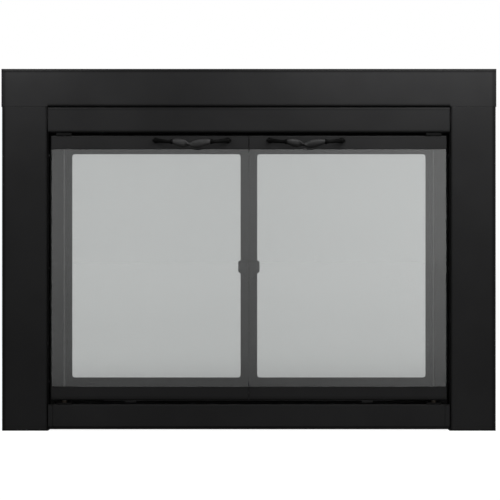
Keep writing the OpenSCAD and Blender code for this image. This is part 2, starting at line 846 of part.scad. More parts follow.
// Soft channels that hold the glass in the rails
module glass_gaskets(s) {
    y0 = door_y + sheet;
    y1 = door_back_y - sheet;
    color([0.12, 0.12, 0.12]) side(s) difference() {
        union() {
            block([door_in, y0, door_z1 - door_rail_h + gasket_lip],
                  [door_out, y1, glass_z1 + gasket_end]);
            block([door_in, y0, glass_z0 - gasket_end],
                  [door_out, y1, door_z0 + door_rail_h - gasket_lip]);
        }
        block([door_in - 1, glass_y0, glass_z0], [door_out + 1, glass_y1, glass_z1]);
    }
}

module clamp_screws(s) {
    color([0.3, 0.3, 0.32]) side(s) for (x = screw_xs, z = [clamp_z_top, clamp_z_bottom])
        screw([x, door_back_y, z], "y", 1, clamp_hole_r, sheet);
}

// Headed pins: each head lies inside its rail
module door_pins(s) {
    color([0.5, 0.5, 0.52]) side(s) translate([door_pivot_x, door_pivot_y, 0]) {
        rod([0, 0, door_z1 - sheet], "z", door_pin_r, top_rail_z - touch_gap - door_z1 + sheet);
        rod([0, 0, door_z1 - sheet - pin_head_t], "z", door_pin_r + pin_head_w, pin_head_t);
        rod([0, 0, lower_rail_z + touch_gap], "z", door_pin_r,
            door_z0 - lower_rail_z - touch_gap + sheet);
        rod([0, 0, door_z0 + sheet], "z", door_pin_r + pin_head_w, pin_head_t);
    }
}

// ---- Handles: both twist the same way ----

function ease(q) = 3 * q * q - 2 * q * q * q;
function mix(a, b, q) = a + (b - a) * q;

// Middle line of a wing, from q = 0 at the collar to q = 1 at the tip
function wing_point(q) = [
    wing_x0 - 1 + q * (handle_l / 2 - wing_x0 + 1),
    mix(grip_y, door_y - 2.6, ease(q)),
    mix(collar_z, handle_foot_z, ease(q))
];

// Half-height and half-thickness of a wing: full at the foot and thin at the tip
function wing_h(q) = q < 0.75 ? 3.6 + 2 * q : 5.1 - 12 * (q - 0.75);
function wing_t(q) = q < 0.75 ? 3.6 - 1.2 * q : 2.7 - 4 * (q - 0.75);

module wing() {
    steps = 12;
    loft([for (k = [0 : steps])
        let (q = k / steps, e = 0.01,
             along = unit(wing_point(q + e) - wing_point(q - e)),
             up = unit([0, 0, 1] - along * along.z))
        ring(wing_point(q), cross(up, along), wing_t(q), up, wing_h(q), 8)]);
}

// How far through the grip's two leaves s is: 0.5 at the half twist
function leaf_share(s) = s < twist_at ? 0.5 * s / twist_at : 1 - 0.5 * (1 - s) / (1 - twist_at);

// The grip: two leaves with half a twist between them, hanging lowest in the middle
module grip() {
    steps = 36;
    loft([for (k = [0 : steps])
        let (s = k / steps,
             leaf = pow(abs(sin(360 * leaf_share(s))), 0.8),
             a = -leaf_tilt + 180 * ease(min(1, max(0, (s - twist_at) / 0.32 + 0.5))),
             c = [(s - 0.5) * (grip_l + 2), grip_y, mix(collar_z, grip_z, pow(sin(180 * s), 2))])
        ring(c, [0, cos(a), sin(a)], mix(neck_t, leaf_t, leaf),
             [0, -sin(a), cos(a)], mix(neck_h, leaf_h, leaf), 12)]);
}

module handle(s) {
    foot_x = handle_l / 2 - foot_inset;
    color([0.07, 0.07, 0.07]) translate([s * handle_x, 0, 0]) {
        for (hand = [0, 1]) mirror([hand, 0, 0]) difference() {
            union() {
                rod([grip_l / 2, grip_y, collar_z], "x", collar_r, collar_l);
                wing();
                rod([foot_x, door_y - foot_l, handle_foot_z], "y", foot_r, foot_l);
            }
            rod([foot_x, door_y - handle_screw_depth - touch_gap, handle_foot_z],
                "y", screw_r + hole_gap, handle_screw_depth + 1);
        }
        grip();
    }
}

module handle_screws(s) {
    color([0.3, 0.3, 0.32]) side(s) for (x = handle_foot_xs)
        screw([handle_x + x, door_y + sheet, handle_foot_z], "y", 1,
              screw_r, sheet + handle_screw_depth);
}

// ---- Mesh gates, drawn for the right-hand side ----

// Outline of a channel of depth gate_t, from its web at w0 to its open side at w1
module gate_channel(w0, w1) {
    hand = w1 > w0 ? 1 : -1;
    difference() {
        translate([min(w0, w1), gate_y]) square([abs(w1 - w0), gate_t]);
        translate([min(w0 + hand * gate_sheet, w1 + hand), gate_y + gate_sheet])
            square([abs(w1 + hand - w0 - hand * gate_sheet), gate_t - 2 * gate_sheet]);
    }
}

module gate_stiles(s) {
    color([0.12, 0.12, 0.12]) side(s) {
        along_z(gate_z0, gate_z1) gate_channel(gate_out, mesh_x1);
        along_z(gate_z0, gate_z1) gate_channel(gate_in, mesh_x0);
    }
}

module gate_rail(z0, z1) {
    translate([mesh_x0, 0, 0]) rotate([90, 0, 90]) linear_extrude(mesh_x1 - mesh_x0)
        rotate(90) mirror([0, 1]) gate_channel(z0, z1);
}

module gate_rails(s) {
    color([0.12, 0.12, 0.12]) side(s) difference() {
        union() {
            gate_rail(gate_z0, mesh_z0);
            gate_rail(gate_z1, mesh_z1);
        }
        for (z = [gate_z0 - 1, gate_z1 - gate_sheet - 1])
            rod([gate_pivot_x, gate_mid_y, z], "z", gate_tail_r + hole_gap, gate_sheet + 2);
    }
}

// Square-hole net in a hem that fills the channels
module mesh(s) {
    w = mesh_x1 - mesh_x0;
    h = mesh_z1 - mesh_z0;
    dx = (w + wire_w) / mesh_across;
    dz = (h + wire_w) / mesh_up;
    hem_y0 = gate_y + gate_sheet;
    hem_t = gate_t - 2 * gate_sheet;
    color([0.3, 0.3, 0.3]) side(s) {
        translate([mesh_x0, gate_mid_y + wire_w / 2, mesh_z0]) rotate([90, 0, 0])
            linear_extrude(wire_w) difference() {
                translate([-1, -1]) square([w + 2, h + 2]);
                for (i = [0 : mesh_across - 1], j = [0 : mesh_up - 1])
                    translate([i * dx, j * dz]) square([dx - wire_w, dz - wire_w]);
            }
        translate([mesh_x0, hem_y0 + hem_t, mesh_z0]) rotate([90, 0, 0])
            linear_extrude(hem_t) difference() {
                translate([-mesh_hem, -mesh_hem]) square([w + 2 * mesh_hem, h + 2 * mesh_hem]);
                square([w, h]);
            }
    }
}

module gate_pull(s) {
    x0 = 3;
    x1 = x0 + pull_w;
    r = 3;
    plate_t = 3;
    y0 = gate_y - pull_reach;
    color([0.06, 0.06, 0.06]) side(s) union() {
        translate([0, y0 + plate_t, 0]) rotate([90, 0, 0]) linear_extrude(plate_t) {
            polygon([
                [x0, pull_z - 10], [x0 + 4, pull_z - 10], [x0 + 14, pull_z],
                [x1 - r, pull_z], [x1, pull_z + r], [x1, pull_z + pull_h - r],
                [x1 - r, pull_z + pull_h], [x0, pull_z + pull_h]
            ]);
        }
        rod([gate_in + gate_inner_w / 2, y0 + plate_t - 1, pull_z + pull_h / 2], "y",
            4, pull_reach - plate_t + 1);
    }
}

// Stepped pins: the thick end turns in a bush and the tail sits in the channel
module gate_pins(s) {
    thick_l = gate_gap_end + sheet + bush_past - 0.5;
    tail_l = 8;
    color([0.5, 0.5, 0.52]) side(s) translate([gate_pivot_x, gate_mid_y, 0]) {
        rod([0, 0, gate_z1], "z", gate_pin_r, thick_l);
        rod([0, 0, gate_z1 - tail_l], "z", gate_tail_r, tail_l);
        rod([0, 0, gate_z0 - thick_l], "z", gate_pin_r, thick_l);
        rod([0, 0, gate_z0], "z", gate_tail_r, tail_l);
    }
}

// ---- Nodes ----

header_panel();
leg_panel(-1);  // left_leg_panel
leg_panel(1);  // right_leg_panel
top_rail();
lower_rail();
lower_rail_ends();
jamb(-1);  // left_jamb
jamb(1);  // right_jamb
head_channel();
sill_riser();
hearth_plate();
draft_slide();
draft_knob();
draft_guides();
surround_bolts();
surround_nuts();
jamb_screws();
hearth_brackets();
lintel_clamps();
lintel_screws();
bracket_screws();
door_pivot_brackets();
pivot_bracket_screws();
door_bushes();
gate_bushes();
magnet_housings();
magnet_poles();
gate_stop();
leg_insulation(-1);  // left_insulation
leg_insulation(1);  // right_insulation
top_insulation();
door_top_rail(-1);  // left_door_top_rail
door_bottom_rail(-1);  // left_door_bottom_rail
door_glass(-1);  // left_door_glass
glass_gaskets(-1);  // left_glass_gaskets
clamp_screws(-1);  // left_clamp_screws
handle(-1);  // left_handle
handle_screws(-1);  // left_handle_screws
strike_plate(-1);  // left_strike_plate
door_pins(-1);  // left_door_pins
door_top_rail(1);  // right_door_top_rail
door_bottom_rail(1);  // right_door_bottom_rail
door_glass(1);  // right_door_glass
glass_gaskets(1);  // right_glass_gaskets
clamp_screws(1);  // right_clamp_screws
handle(1);  // right_handle
handle_screws(1);  // right_handle_screws
strike_plate(1);  // right_strike_plate
door_pins(1);  // right_door_pins
gate_stiles(-1);  // left_gate_stiles
gate_rails(-1);  // left_gate_rails
mesh(-1);  // left_mesh
gate_pull(-1);  // left_gate_pull
gate_pins(-1);  // left_gate_pins
gate_stiles(1);  // right_gate_stiles
gate_rails(1);  // right_gate_rails
mesh(1);  // right_mesh
gate_pull(1);  // right_gate_pull
gate_pins(1);  // right_gate_pins
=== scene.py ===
"""Dresses a fireplace glass door: paint, glass, woven mesh gates, handles and a studio."""
import math

import bmesh
import bpy
import numpy as np
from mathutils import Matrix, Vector


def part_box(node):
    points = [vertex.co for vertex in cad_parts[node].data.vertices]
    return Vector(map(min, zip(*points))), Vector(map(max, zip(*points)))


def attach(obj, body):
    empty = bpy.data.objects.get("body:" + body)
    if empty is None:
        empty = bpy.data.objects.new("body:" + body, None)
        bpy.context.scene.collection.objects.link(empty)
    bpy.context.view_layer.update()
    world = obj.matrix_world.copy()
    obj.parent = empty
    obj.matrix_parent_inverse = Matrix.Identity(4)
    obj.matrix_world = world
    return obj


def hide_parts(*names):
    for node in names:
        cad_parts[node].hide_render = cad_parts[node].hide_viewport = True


bl_info = {
    "name": "Fireplace Glass Door",
    "version": (1, 0, 0),
    "blender": (4, 5, 0),
    "location": "3D View > Sidebar > Fireplace Door",
    "description": "Builds the visible pieces, finishes and studio of a fireplace glass door",
    "category": "Object",
}

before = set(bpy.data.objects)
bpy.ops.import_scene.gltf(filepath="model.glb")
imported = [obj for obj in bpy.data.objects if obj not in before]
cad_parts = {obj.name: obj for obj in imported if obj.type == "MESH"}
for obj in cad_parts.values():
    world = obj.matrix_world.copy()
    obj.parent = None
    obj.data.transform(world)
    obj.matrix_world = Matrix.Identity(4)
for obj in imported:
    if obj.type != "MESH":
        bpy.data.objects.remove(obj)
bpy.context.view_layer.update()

SIDES = {"left": -1, "right": 1}
MM = 0.001
RIGHT_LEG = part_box("right_leg_panel")
FRONT_Y = RIGHT_LEG[0].y

# The path of a handle, from its feet to the lowest point of its grip
FOOT_Z = 0.6485
COLLAR_Z = 0.6435
GRIP_Z = 0.6375
GRIP_Y = -0.073


# ---- Sizes and colours that a user would change ----

def length(name, text, default):
    """A size in metres."""
    return bpy.props.FloatProperty(
        name=name, description=text, default=default, min=0, unit="LENGTH", precision=5)


def share(name, text, default):
    """A share from 0 to 1."""
    return bpy.props.FloatProperty(
        name=name, description=text, default=default, min=0, max=1, subtype="FACTOR")


def power(name, text, default):
    """The power of a lamp."""
    return bpy.props.FloatProperty(
        name=name, description=text, default=default, min=0, unit="POWER")


def colour(name, text, default):
    """A colour in linear values."""
    return bpy.props.FloatVectorProperty(
        name=name, description=text, default=default, min=0, max=1, size=3, subtype="COLOR")


class PaintSettings(bpy.types.PropertyGroup):
    """The paints and the handles' iron"""
    coat: colour("Coat", "Powder coat of the panels, the rails and the doors",
                 (0.0148, 0.0148, 0.0151))
    inner_frame: colour("Inner frame", "Heat-proof paint behind the doors", (0.018, 0.018, 0.018))
    gates: colour("Gates", "Paint of the mesh gates' frames", (0.021, 0.0215, 0.0215))
    # The ends are near black partly as painted shade, and the grip lighter partly as a painted
    # highlight of its leaves, besides the blackened and the rubbed iron.
    iron: colour("Handle iron", "Blackened iron of the handles' ends", (0.0018, 0.0018, 0.0018))
    grip: colour("Grip iron", "Rubbed iron of the handles' grips", (0.021, 0.021, 0.0213))
    gloss: share("Gloss", "Strength of the paint's reflections", 0.04)


class GlassSettings(bpy.types.PropertyGroup):
    """The panes of the doors"""
    tint: colour("Tint", "Colour of the light that passes the glass", (0.650, 0.671, 0.664))
    edge: length("Ground edge", "Width of the pane's ground edge", 0.0008)


class WeaveSettings(bpy.types.PropertyGroup):
    """The woven mesh of the gates"""
    pitch: length("Pitch", "Distance from one wire to the next", 0.0018)
    wire: length("Wire", "Diameter of the wire", 0.00035)
    tuck: length("Tuck", "How far the wires reach under the gate's frame", 0.006)
    colour: colour("Wire colour", "Blackened steel wire", (0.030, 0.032, 0.031))


class HandleSettings(bpy.types.PropertyGroup):
    """The handles of the doors"""
    middle_x: length("Place", "Distance from the object's middle to a handle's middle", 0.127)
    grip: length("Grip", "Length of the grip between its collars", 0.084)
    leaf_height: length("Leaf height", "Half the height of each leaf", 0.010)
    leaf_thickness: length("Leaf thickness", "Half the thickness of each leaf", 0.0052)
    lean: bpy.props.FloatProperty(
        name="Lean", description="How far the leaves lean back", default=math.radians(14),
        subtype="ANGLE")
    twist: share("Twist", "Where the half twist lies along the grip", 0.42)


class StudioSettings(bpy.types.PropertyGroup):
    """The camera and the lamps"""
    distance: length("Distance", "From the camera to the front of the legs", 4.5)
    height: length("Camera height", "Height of the camera above the floor", 0.4036)
    lens: bpy.props.FloatProperty(
        name="Lens", description="Focal length in millimetres", default=145.3, min=20)
    daylight: share("Room light", "Strength of the light from all round", 0.29)
    front_power: power("Front lamp", "Power of the large lamp behind the camera", 34.0)
    strip_power: power("Strip lamps", "Power of the brightest lamp above the header", 4.45)
    back_power: power("Back lamp", "Power of the lamp behind the object", 26.0)


# ---- Materials ----

class Nodes:
    """A node tree and the ways to add to it."""

    def __init__(self, tree):
        self.tree = tree

    def put(self, node, socket, value):
        """Links or sets one input."""
        if isinstance(value, bpy.types.NodeSocket):
            self.tree.links.new(value, node.inputs[socket])
        elif node.inputs[socket].type == "RGBA":
            node.inputs[socket].default_value = (*value[:3], 1)
        else:
            node.inputs[socket].default_value = value

    def node(self, kind, inputs=None, **settings):
        """Adds a node, with its inputs and its own settings."""
        node = self.tree.nodes.new(kind)
        for name, value in settings.items():
            setattr(node, name, value)
        for socket, value in (inputs or {}).items():
            self.put(node, socket, value)
        return node

    def sum(self, operation, *values):
        """One sum of numbers and sockets."""
        node = self.node("ShaderNodeMath", dict(enumerate(values)), operation=operation)
        return node.outputs["Value"]

    def ramp(self, value, start, end, low, high):
        """A number that runs from low to high as the value runs from start to end."""
        return self.node("ShaderNodeMapRange", {
            "Value": value, "From Min": start, "From Max": end, "To Min": low, "To Max": high,
        }).outputs["Result"]

    def split(self, place):
        """The X, Y and Z of a place or a direction."""
        return self.node("ShaderNodeSeparateXYZ", {"Vector": place}).outputs


class Finish(Nodes):
    """A material and the nodes that make it."""

    def __init__(self, name, **sockets):
        self.material = bpy.data.materials.new(name)
        self.material.use_nodes = True
        super().__init__(self.material.node_tree)
        self.shader = self.tree.nodes["Principled BSDF"]
        self.place = self.node("ShaderNodeTexCoord").outputs["Object"]
        self.set(**sockets)

    def noise(self, scale, detail=2.0, rough=0.5, place=None):
        """Noise on the piece's own place, in cycles a metre."""
        inputs = {"Vector": place or self.place, "Scale": scale, "Detail": detail,
                  "Roughness": rough}
        return self.node("ShaderNodeTexNoise", inputs).outputs["Fac"]

    def stretched(self, x, y, z):
        """The piece's own place, scaled along each axis."""
        mapping = self.node("ShaderNodeMapping", {"Vector": self.place, "Scale": (x, y, z)})
        return mapping.outputs["Vector"]

    def blend(self, factor, low, high):
        """A colour that runs from low to high as the factor runs from 0 to 1."""
        mixed = self.node("ShaderNodeMix", data_type="RGBA")
        for socket, value in ((0, factor), (6, low), (7, high)):
            self.put(mixed, socket, value)
        return mixed.outputs[2]

    def between(self, factor, low, high, start=0.35, end=0.65):
        """A colour or number that runs from low to high as the factor runs from start to end."""
        if isinstance(low, float):
            return self.ramp(factor, start, end, low, high)
        return self.blend(self.ramp(factor, start, end, 0.0, 1.0), low, high)

    def bump(self, height, distance, strength=1.0, under=None):
        """Relief from a height, on top of the relief under it."""
        inputs = {"Height": height, "Distance": distance, "Strength": strength}
        if under:
            inputs["Normal"] = under
        return self.node("ShaderNodeBump", inputs).outputs["Normal"]

    def set(self, **sockets):
        """Sets or links the shader's sockets, and gives the material."""
        for socket, value in sockets.items():
            self.put(self.shader, socket.replace("_", " "), value)
        return self.material


def shaded(base, factor):
    """A darker or lighter tone of a colour."""
    return tuple(min(1.0, c * factor) for c in base)


# Painted shade: bands of darker colour where seams, bends and gaps fall into shade.
def unshaded_share(f, painted_shade):
    """The share of the coat that shows: each band's own inside it, and 1 outside them all.

    A band has its share and one or two ramps. A ramp has an axis, where the painted shade is
    darkest and where the coat is free of it, both from the object's middle or its foot.
    """
    whole = 1.0
    for share_left, *ramps in painted_shade:
        unshaded = 0.0
        for axis, dark, clear in ramps:
            away = f.sum("ABSOLUTE", f.split(f.place)[axis])
            unshaded = f.sum("MAXIMUM", f.ramp(away, dark, clear, share_left, 1.0), unshaded)
        whole = f.sum("MULTIPLY", unshaded, whole)
    return whole


def with_painted_shade(f, coat, base, painted_shade):
    """The coat, darker in the bands of painted shade."""
    return f.blend(unshaded_share(f, painted_shade), shaded(base, PAINTED_SHADE_TONE), coat) if painted_shade else coat


def powder_coat(name, base, gloss, rough=0.46, grain=520.0, painted_shade=()):
    """Baked powder coat: fine orange peel, faint cloudiness, and bands of painted shade."""
    f = Finish(name, Specular_IOR_Level=gloss)
    coat = f.between(f.noise(7.0, 3.0), shaded(base, 0.90), shaded(base, 1.10))
    peel = f.bump(f.noise(grain, 2.0), 0.00006, 0.55)
    speck = f.bump(f.noise(2600.0, 1.0), 0.00002, 0.5, under=peel)
    return f.set(
        Base_Color=with_painted_shade(f, coat, base, painted_shade),
        Roughness=f.between(f.noise(31.0, 4.0), rough - 0.05, rough + 0.06),
        Normal=speck)


def forged_iron(name, base, gloss, painted_shade=()):
    """Hammered and blackened iron under wax: soft dents, a darker scale and bands of painted
    shade.
    """
    f = Finish(name, Specular_IOR_Level=gloss)
    iron = f.between(f.noise(75.0, 3.0), shaded(base, 0.75), shaded(base, 1.25))
    dents = f.bump(f.noise(190.0, 2.0), 0.00035, 0.6)
    scale = f.bump(f.noise(1500.0, 3.0), 0.00003, 0.5, under=dents)
    return f.set(
        Base_Color=with_painted_shade(f, iron, base, painted_shade),
        Roughness=f.between(f.noise(140.0, 2.0), 0.34, 0.50),
        Normal=scale)


def plated_steel(name, base, rough):
    """Zinc plate with a drawn grain and small cloudy patches."""
    f = Finish(name, Metallic=1.0)
    grain = f.noise(60.0, 4.0, place=f.stretched(1, 18, 18))
    return f.set(
        Base_Color=f.between(f.noise(55.0, 3.0), shaded(base, 0.86), shaded(base, 1.08)),
        Roughness=f.between(grain, rough - 0.06, rough + 0.10),
        Normal=f.bump(grain, 0.00002, 0.5))


def turned_bronze(name, base):
    """Dull oiled bronze with fine lathe rings."""
    f = Finish(name, Metallic=1.0)
    rings = f.noise(40.0, 2.0, place=f.stretched(1, 1, 60))
    return f.set(
        Base_Color=f.between(f.noise(200.0, 2.0), shaded(base, 0.84), shaded(base, 1.06)),
        Roughness=f.between(rings, 0.38, 0.55),
        Normal=f.bump(rings, 0.00002, 0.5))


def moulded_plastic(name, base):
    """Matt phenolic with a fine spark-eroded grain."""
    f = Finish(name, Specular_IOR_Level=0.2)
    grain = f.noise(1400.0, 2.0)
    return f.set(
        Base_Color=f.between(f.noise(90.0, 2.0), shaded(base, 0.88), shaded(base, 1.12)),
        Roughness=f.between(grain, 0.48, 0.62),
        Normal=f.bump(grain, 0.00004, 0.6))


def gasket_cord(name, base):
    """Braided heat-proof cord: crossed strands at a fine pitch."""
    f = Finish(name, Specular_IOR_Level=0.05)
    waves = [f.node("ShaderNodeTexWave", {
        "Vector": f.stretched(1, 0, z), "Scale": 160.0, "Distortion": 1.5, "Detail": 1.0,
    }, bands_direction="DIAGONAL").outputs["Fac"] for z in (1, -1)]
    braid = f.sum("MAXIMUM", *waves)
    return f.set(
        Base_Color=f.between(braid, shaded(base, 0.6), shaded(base, 1.3), 0.1, 0.9),
        Roughness=f.between(f.noise(400.0, 2.0), 0.82, 0.95),
        Normal=f.bump(braid, 0.0003, 0.7))


def glass_wool(name):
    """Loose yellow fibres with darker hollows and a few pale strands."""
    f = Finish(name, Specular_IOR_Level=0.02)
    fibre = f.noise(110.0, 6.0, 0.75, place=f.stretched(1, 2.5, 1))
    strand = f.noise(620.0, 3.0, 0.6, place=f.stretched(1, 1, 0.35))
    tuft = f.bump(fibre, 0.003, 0.9)
    f.set(Sheen_Weight=0.3, Sheen_Roughness=0.6)
    return f.set(
        Base_Color=f.between(fibre, (0.50, 0.36, 0.13), (0.86, 0.74, 0.40), 0.3, 0.7),
        Roughness=f.between(strand, 0.85, 1.0),
        Normal=f.bump(strand, 0.0006, 0.8, under=tuft))


def blackened_wire(name, base, gloss):
    """Blackened wire with lighter spots of wear."""
    f = Finish(name, Specular_IOR_Level=gloss)
    wear_and_grip_shade = f.noise(420.0, 3.0)
    return f.set(
        Base_Color=f.between(wear_and_grip_shade, shaded(base, 0.75), shaded(base, 1.35)),
        Roughness=f.between(f.noise(900.0, 2.0), 0.40, 0.60),
        Normal=f.bump(wear_and_grip_shade, 0.00002, 0.4))


def tempered_glass(name, tint):
    """Clear tempered glass, lightly smoked, with a very faint roller wave."""
    f = Finish(name, Base_Color=tint, Transmission_Weight=1.0, IOR=1.5)
    wave = f.noise(9.0, 1.0, place=f.stretched(0.3, 1, 1))
    return f.set(
        Roughness=f.between(f.noise(24.0, 3.0), 0.0, 0.012),
        Normal=f.bump(wave, 0.00002, 0.3))


# The tone of full painted shade, and the painted shade all over the legs and the top rail, as
# shares of the coat's
PAINTED_SHADE_TONE = 0.02
ALL_OVER_SHADE = {"legs": 0.92, "top_rail": 0.92}
# How high the slanted foot of the lower rail is
TOE = 6.4 * MM


def painted_shade_bands():
    """Where painted shade darkens each panel along its seams, bends and edges, as bands for
    unshaded_share.
    """
    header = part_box("header_panel")
    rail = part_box("top_rail")
    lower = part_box("lower_rail")
    leg_in, leg_out = (corner.x for corner in RIGHT_LEG)
    door = (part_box("right_door_bottom_rail")[0].z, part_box("right_door_top_rail")[1].z)
    seam, toe = header[0].z, lower[0].z + TOE
    # Each band is painted shade: under the header's seam, along bends and outer edges, on the
    # lower rail's toe, and in the gaps beside the legs.
    return {
        "header": [
            (0.60, ("Z", seam + 1 * MM, seam + 10 * MM), ("X", leg_in - 3 * MM, leg_in)),
            (0.30, ("Z", header[1].z - 6 * MM, header[1].z - 9.5 * MM)),
            (0.60, ("X", header[1].x - 8 * MM, header[1].x - 11 * MM))],
        "legs": [
            (0.12, ("X", leg_in + 0.5 * MM, leg_in + 6 * MM)),
            (0.35, ("X", leg_out - 6.5 * MM, leg_out - 9.5 * MM))],
        "top_rail": [
            (0.50, ("Z", seam - 3 * MM, seam - 10 * MM)),
            (0.50, ("Z", rail[0].z + 1 * MM, rail[0].z + 9 * MM))],
        "foot_rail": [
            (0.10, ("Z", toe, toe + 1 * MM)),
            (0.25, ("Z", lower[1].z - 0.5 * MM, lower[1].z - 3.5 * MM))],
        "doors": [
            (0.60, ("Z", door[1] - 1 * MM, door[1] - 5 * MM)),
            (0.35, ("Z", door[0] + 1 * MM, door[0] + 10 * MM))],
        "jambs": [(0.08, ("X", leg_in - 1.7 * MM, leg_in - 4 * MM))],
    }


def grip_shade_bands():
    """Painted shade on the grips: dark underneath, and along the top where the header shades
    them.
    """
    return [(0.22, ("Z", GRIP_Z, GRIP_Z + 7.5 * MM)),
            (0.35, ("Z", GRIP_Z + 11.5 * MM, GRIP_Z + 9.3 * MM))]


MATERIALS = {}


def make_materials(scene):
    """Makes every finish once, from the settings."""
    if MATERIALS:
        return MATERIALS
    paint, glass, weave = scene.door_paint, scene.door_glass, scene.door_weave
    gloss, matt = paint.gloss, paint.gloss * 0.6
    for name, painted_shade in painted_shade_bands().items():
        base = paint.inner_frame if name == "jambs" else paint.coat
        # The legs and the top rail are painted a little darker all over, as painted shade.
        base = shaded(base, ALL_OVER_SHADE.get(name, 1.0))
        MATERIALS[name] = powder_coat(f"{name}_coat", base, gloss, painted_shade=painted_shade)
    # The grips' bands are painted shade, for both handles.
    wear_and_grip_shade = grip_shade_bands()
    MATERIALS.update({
        # The pivot brackets are near black, darker than any paint: black oxide and painted shade
        # of the slots they sit in.
        "pivots": powder_coat("pivot_oxide_and_slot_shade", (0.005, 0.005, 0.005), 0.02),
        "inner_frame": powder_coat("heat_proof_paint", paint.inner_frame, matt, 0.62, 900.0),
        "gates": powder_coat("gate_paint", paint.gates, matt, 0.58, 900.0),
        "black_steel": powder_coat("black_oxide", (0.016, 0.016, 0.017), 0.25, 0.38, 1400.0),
        # Near-black ends: blackened iron and painted shade. Lighter grips: rubbed iron and a
        # painted highlight of the leaves.
        "iron": forged_iron("blackened_iron_and_shade", paint.iron, 0.02),
        "left_grip": forged_iron("left_grip_rubbed_and_highlit", paint.grip, 0.12, wear_and_grip_shade),
        # The right grip is a darker, less glossy copy of the left: painted shade.
        "right_grip": forged_iron("right_grip_rubbed_highlit_shaded", shaded(paint.grip, 0.58), 0.08, wear_and_grip_shade),
        "zinc": plated_steel("zinc_plate", (0.56, 0.57, 0.60), 0.34),
        "dull_zinc": plated_steel("dull_zinc", (0.055, 0.056, 0.058), 0.50),
        # The bushes' bronze is near black: dull oiled bronze and painted shade of the slots they
        # sit in.
        "bronze": turned_bronze("dull_bronze_and_slot_shade", (0.010, 0.0085, 0.007)),
        "plastic": moulded_plastic("black_phenolic", (0.018, 0.018, 0.019)),
        "gasket": gasket_cord("gasket_braid", (0.022, 0.022, 0.022)),
        "wool": glass_wool("glass_wool"),
        "wire": blackened_wire("blackened_wire", weave.colour, 0.25),
        "glass": tempered_glass("smoked_glass", glass.tint),
    })
    return MATERIALS


# ---- Modelling helpers ----

def clear_selection():
    """Leaves nothing selected, in object mode."""
    if bpy.context.object and bpy.context.object.mode != "OBJECT":
        bpy.ops.object.mode_set(mode="OBJECT")
    bpy.ops.object.select_all(action="DESELECT")


def only(obj):
    """Leaves one object selected and active, in object mode."""
    clear_selection()
    obj.select_set(True)
    bpy.context.view_layer.objects.active = obj


def named(name):
    """The active object with its new name."""
    obj = bpy.context.object
    obj.name = obj.data.name = name
    return obj


def settle(obj):
    """Puts the object's place into its mesh."""
    only(obj)
    bpy.ops.object.transform_apply(location=True, rotation=True, scale=True)


def modify(obj, kind, **settings):
    """Adds a modifier and applies it."""
    only(obj)
    modifier = obj.modifiers.new(kind.lower(), kind)
    for name, value in settings.items():
        setattr(modifier, name, value)
    bpy.ops.object.modifier_apply(modifier=modifier.name)


def smooth(obj, angle):
    """Shades the object smooth across all edges flatter than the angle, in degrees."""
    only(obj)
    bpy.ops.object.shade_smooth_by_angle(angle=math.radians(angle))


def tidy_mesh(obj, merge=1e-6, angle=None):
    """Merges doubles, turns the faces outwards and shades them."""
    only(obj)
    bpy.ops.object.mode_set(mode="EDIT")
    bpy.ops.mesh.select_all(action="SELECT")
    bpy.ops.mesh.remove_doubles(threshold=merge)
    bpy.ops.mesh.normals_make_consistent(inside=False)
    bpy.ops.object.mode_set(mode="OBJECT")
    if angle:
        smooth(obj, angle)


def join(name, objects):
    """One object of them all, with a new name."""
    clear_selection()
    for obj in objects:
        obj.select_set(True)
    bpy.context.view_layer.objects.active = objects[0]
    if len(objects) > 1:
        bpy.ops.object.join()
    return named(name)


def dress(obj, body, material, slot, *replaced):
    """Gives a finished piece its body, its finish and the CAD nodes that it stands for."""
    obj.data.materials.clear()
    obj.data.materials.append(make_materials(bpy.context.scene)[material])
    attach(obj, body)
    if replaced:
        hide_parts(*replaced)
    return obj


def block(name, low, high, flat=False):
    """A cube, or a plane that faces the room, from one corner to the other."""
    clear_selection()
    size = high - low
    if flat:
        bpy.ops.mesh.primitive_plane_add(size=1, rotation=(math.pi / 2, 0, 0))
        size = Vector((size.x, size.z, 1))
    else:
        bpy.ops.mesh.primitive_cube_add(size=1)
    obj = named(name)
    obj.scale = size
    obj.location = (low + high) / 2
    settle(obj)
    return obj


def extruded(name, rings, fill):
    """A circle whose points are moved to the first ring and extruded through the others."""
    clear_selection()
    bpy.ops.mesh.primitive_circle_add(vertices=len(rings[0]), radius=1, fill_type=fill)
    obj = named(name)
    bpy.ops.object.mode_set(mode="EDIT")
    mesh = bmesh.from_edit_mesh(obj.data)
    for vertex, point in zip(mesh.verts, rings[0]):
        vertex.co = point
    for before, ring in zip(rings, rings[1:]):
        bpy.ops.mesh.extrude_region_move()
        mesh = bmesh.from_edit_mesh(obj.data)
        for vertex in [v for v in mesh.verts if v.select]:
            gaps = [(vertex.co - point).length_squared for point in before]
            vertex.co = ring[gaps.index(min(gaps))]
    bmesh.update_edit_mesh(obj.data)
    bpy.ops.object.mode_set(mode="OBJECT")
    return obj


def sweep(name, rings):
    """A closed piece that is extruded from the first ring of points to the last."""
    obj = extruded(name, rings, "NGON")
    tidy_mesh(obj)
    return obj


def ring_of(centre, u, w, v, h, count, turn=0.0):
    """Points about a centre, w along u and h along v."""
    return [centre + u * (w * math.cos(a)) + v * (h * math.sin(a))
            for a in (turn + math.tau * i / count for i in range(count))]


AXES = {
    "x": (Vector((1, 0, 0)), Vector((0, 1, 0)), Vector((0, 0, 1))),
    "y": (Vector((0, 1, 0)), Vector((0, 0, 1)), Vector((1, 0, 0))),
    "z": (Vector((0, 0, 1)), Vector((1, 0, 0)), Vector((0, 1, 0))),
}


def turned(name, foot, axis, profile, count=32, hand=1):
    """A turned piece: pairs of radius and height in mm along an axis from its foot."""
    along, u, v = AXES[axis]
    rings = [ring_of(Vector(foot) + along * (hand * h * MM), u, r * MM, v, r * MM, count)
             for r, h in profile]
    return sweep(name, rings)


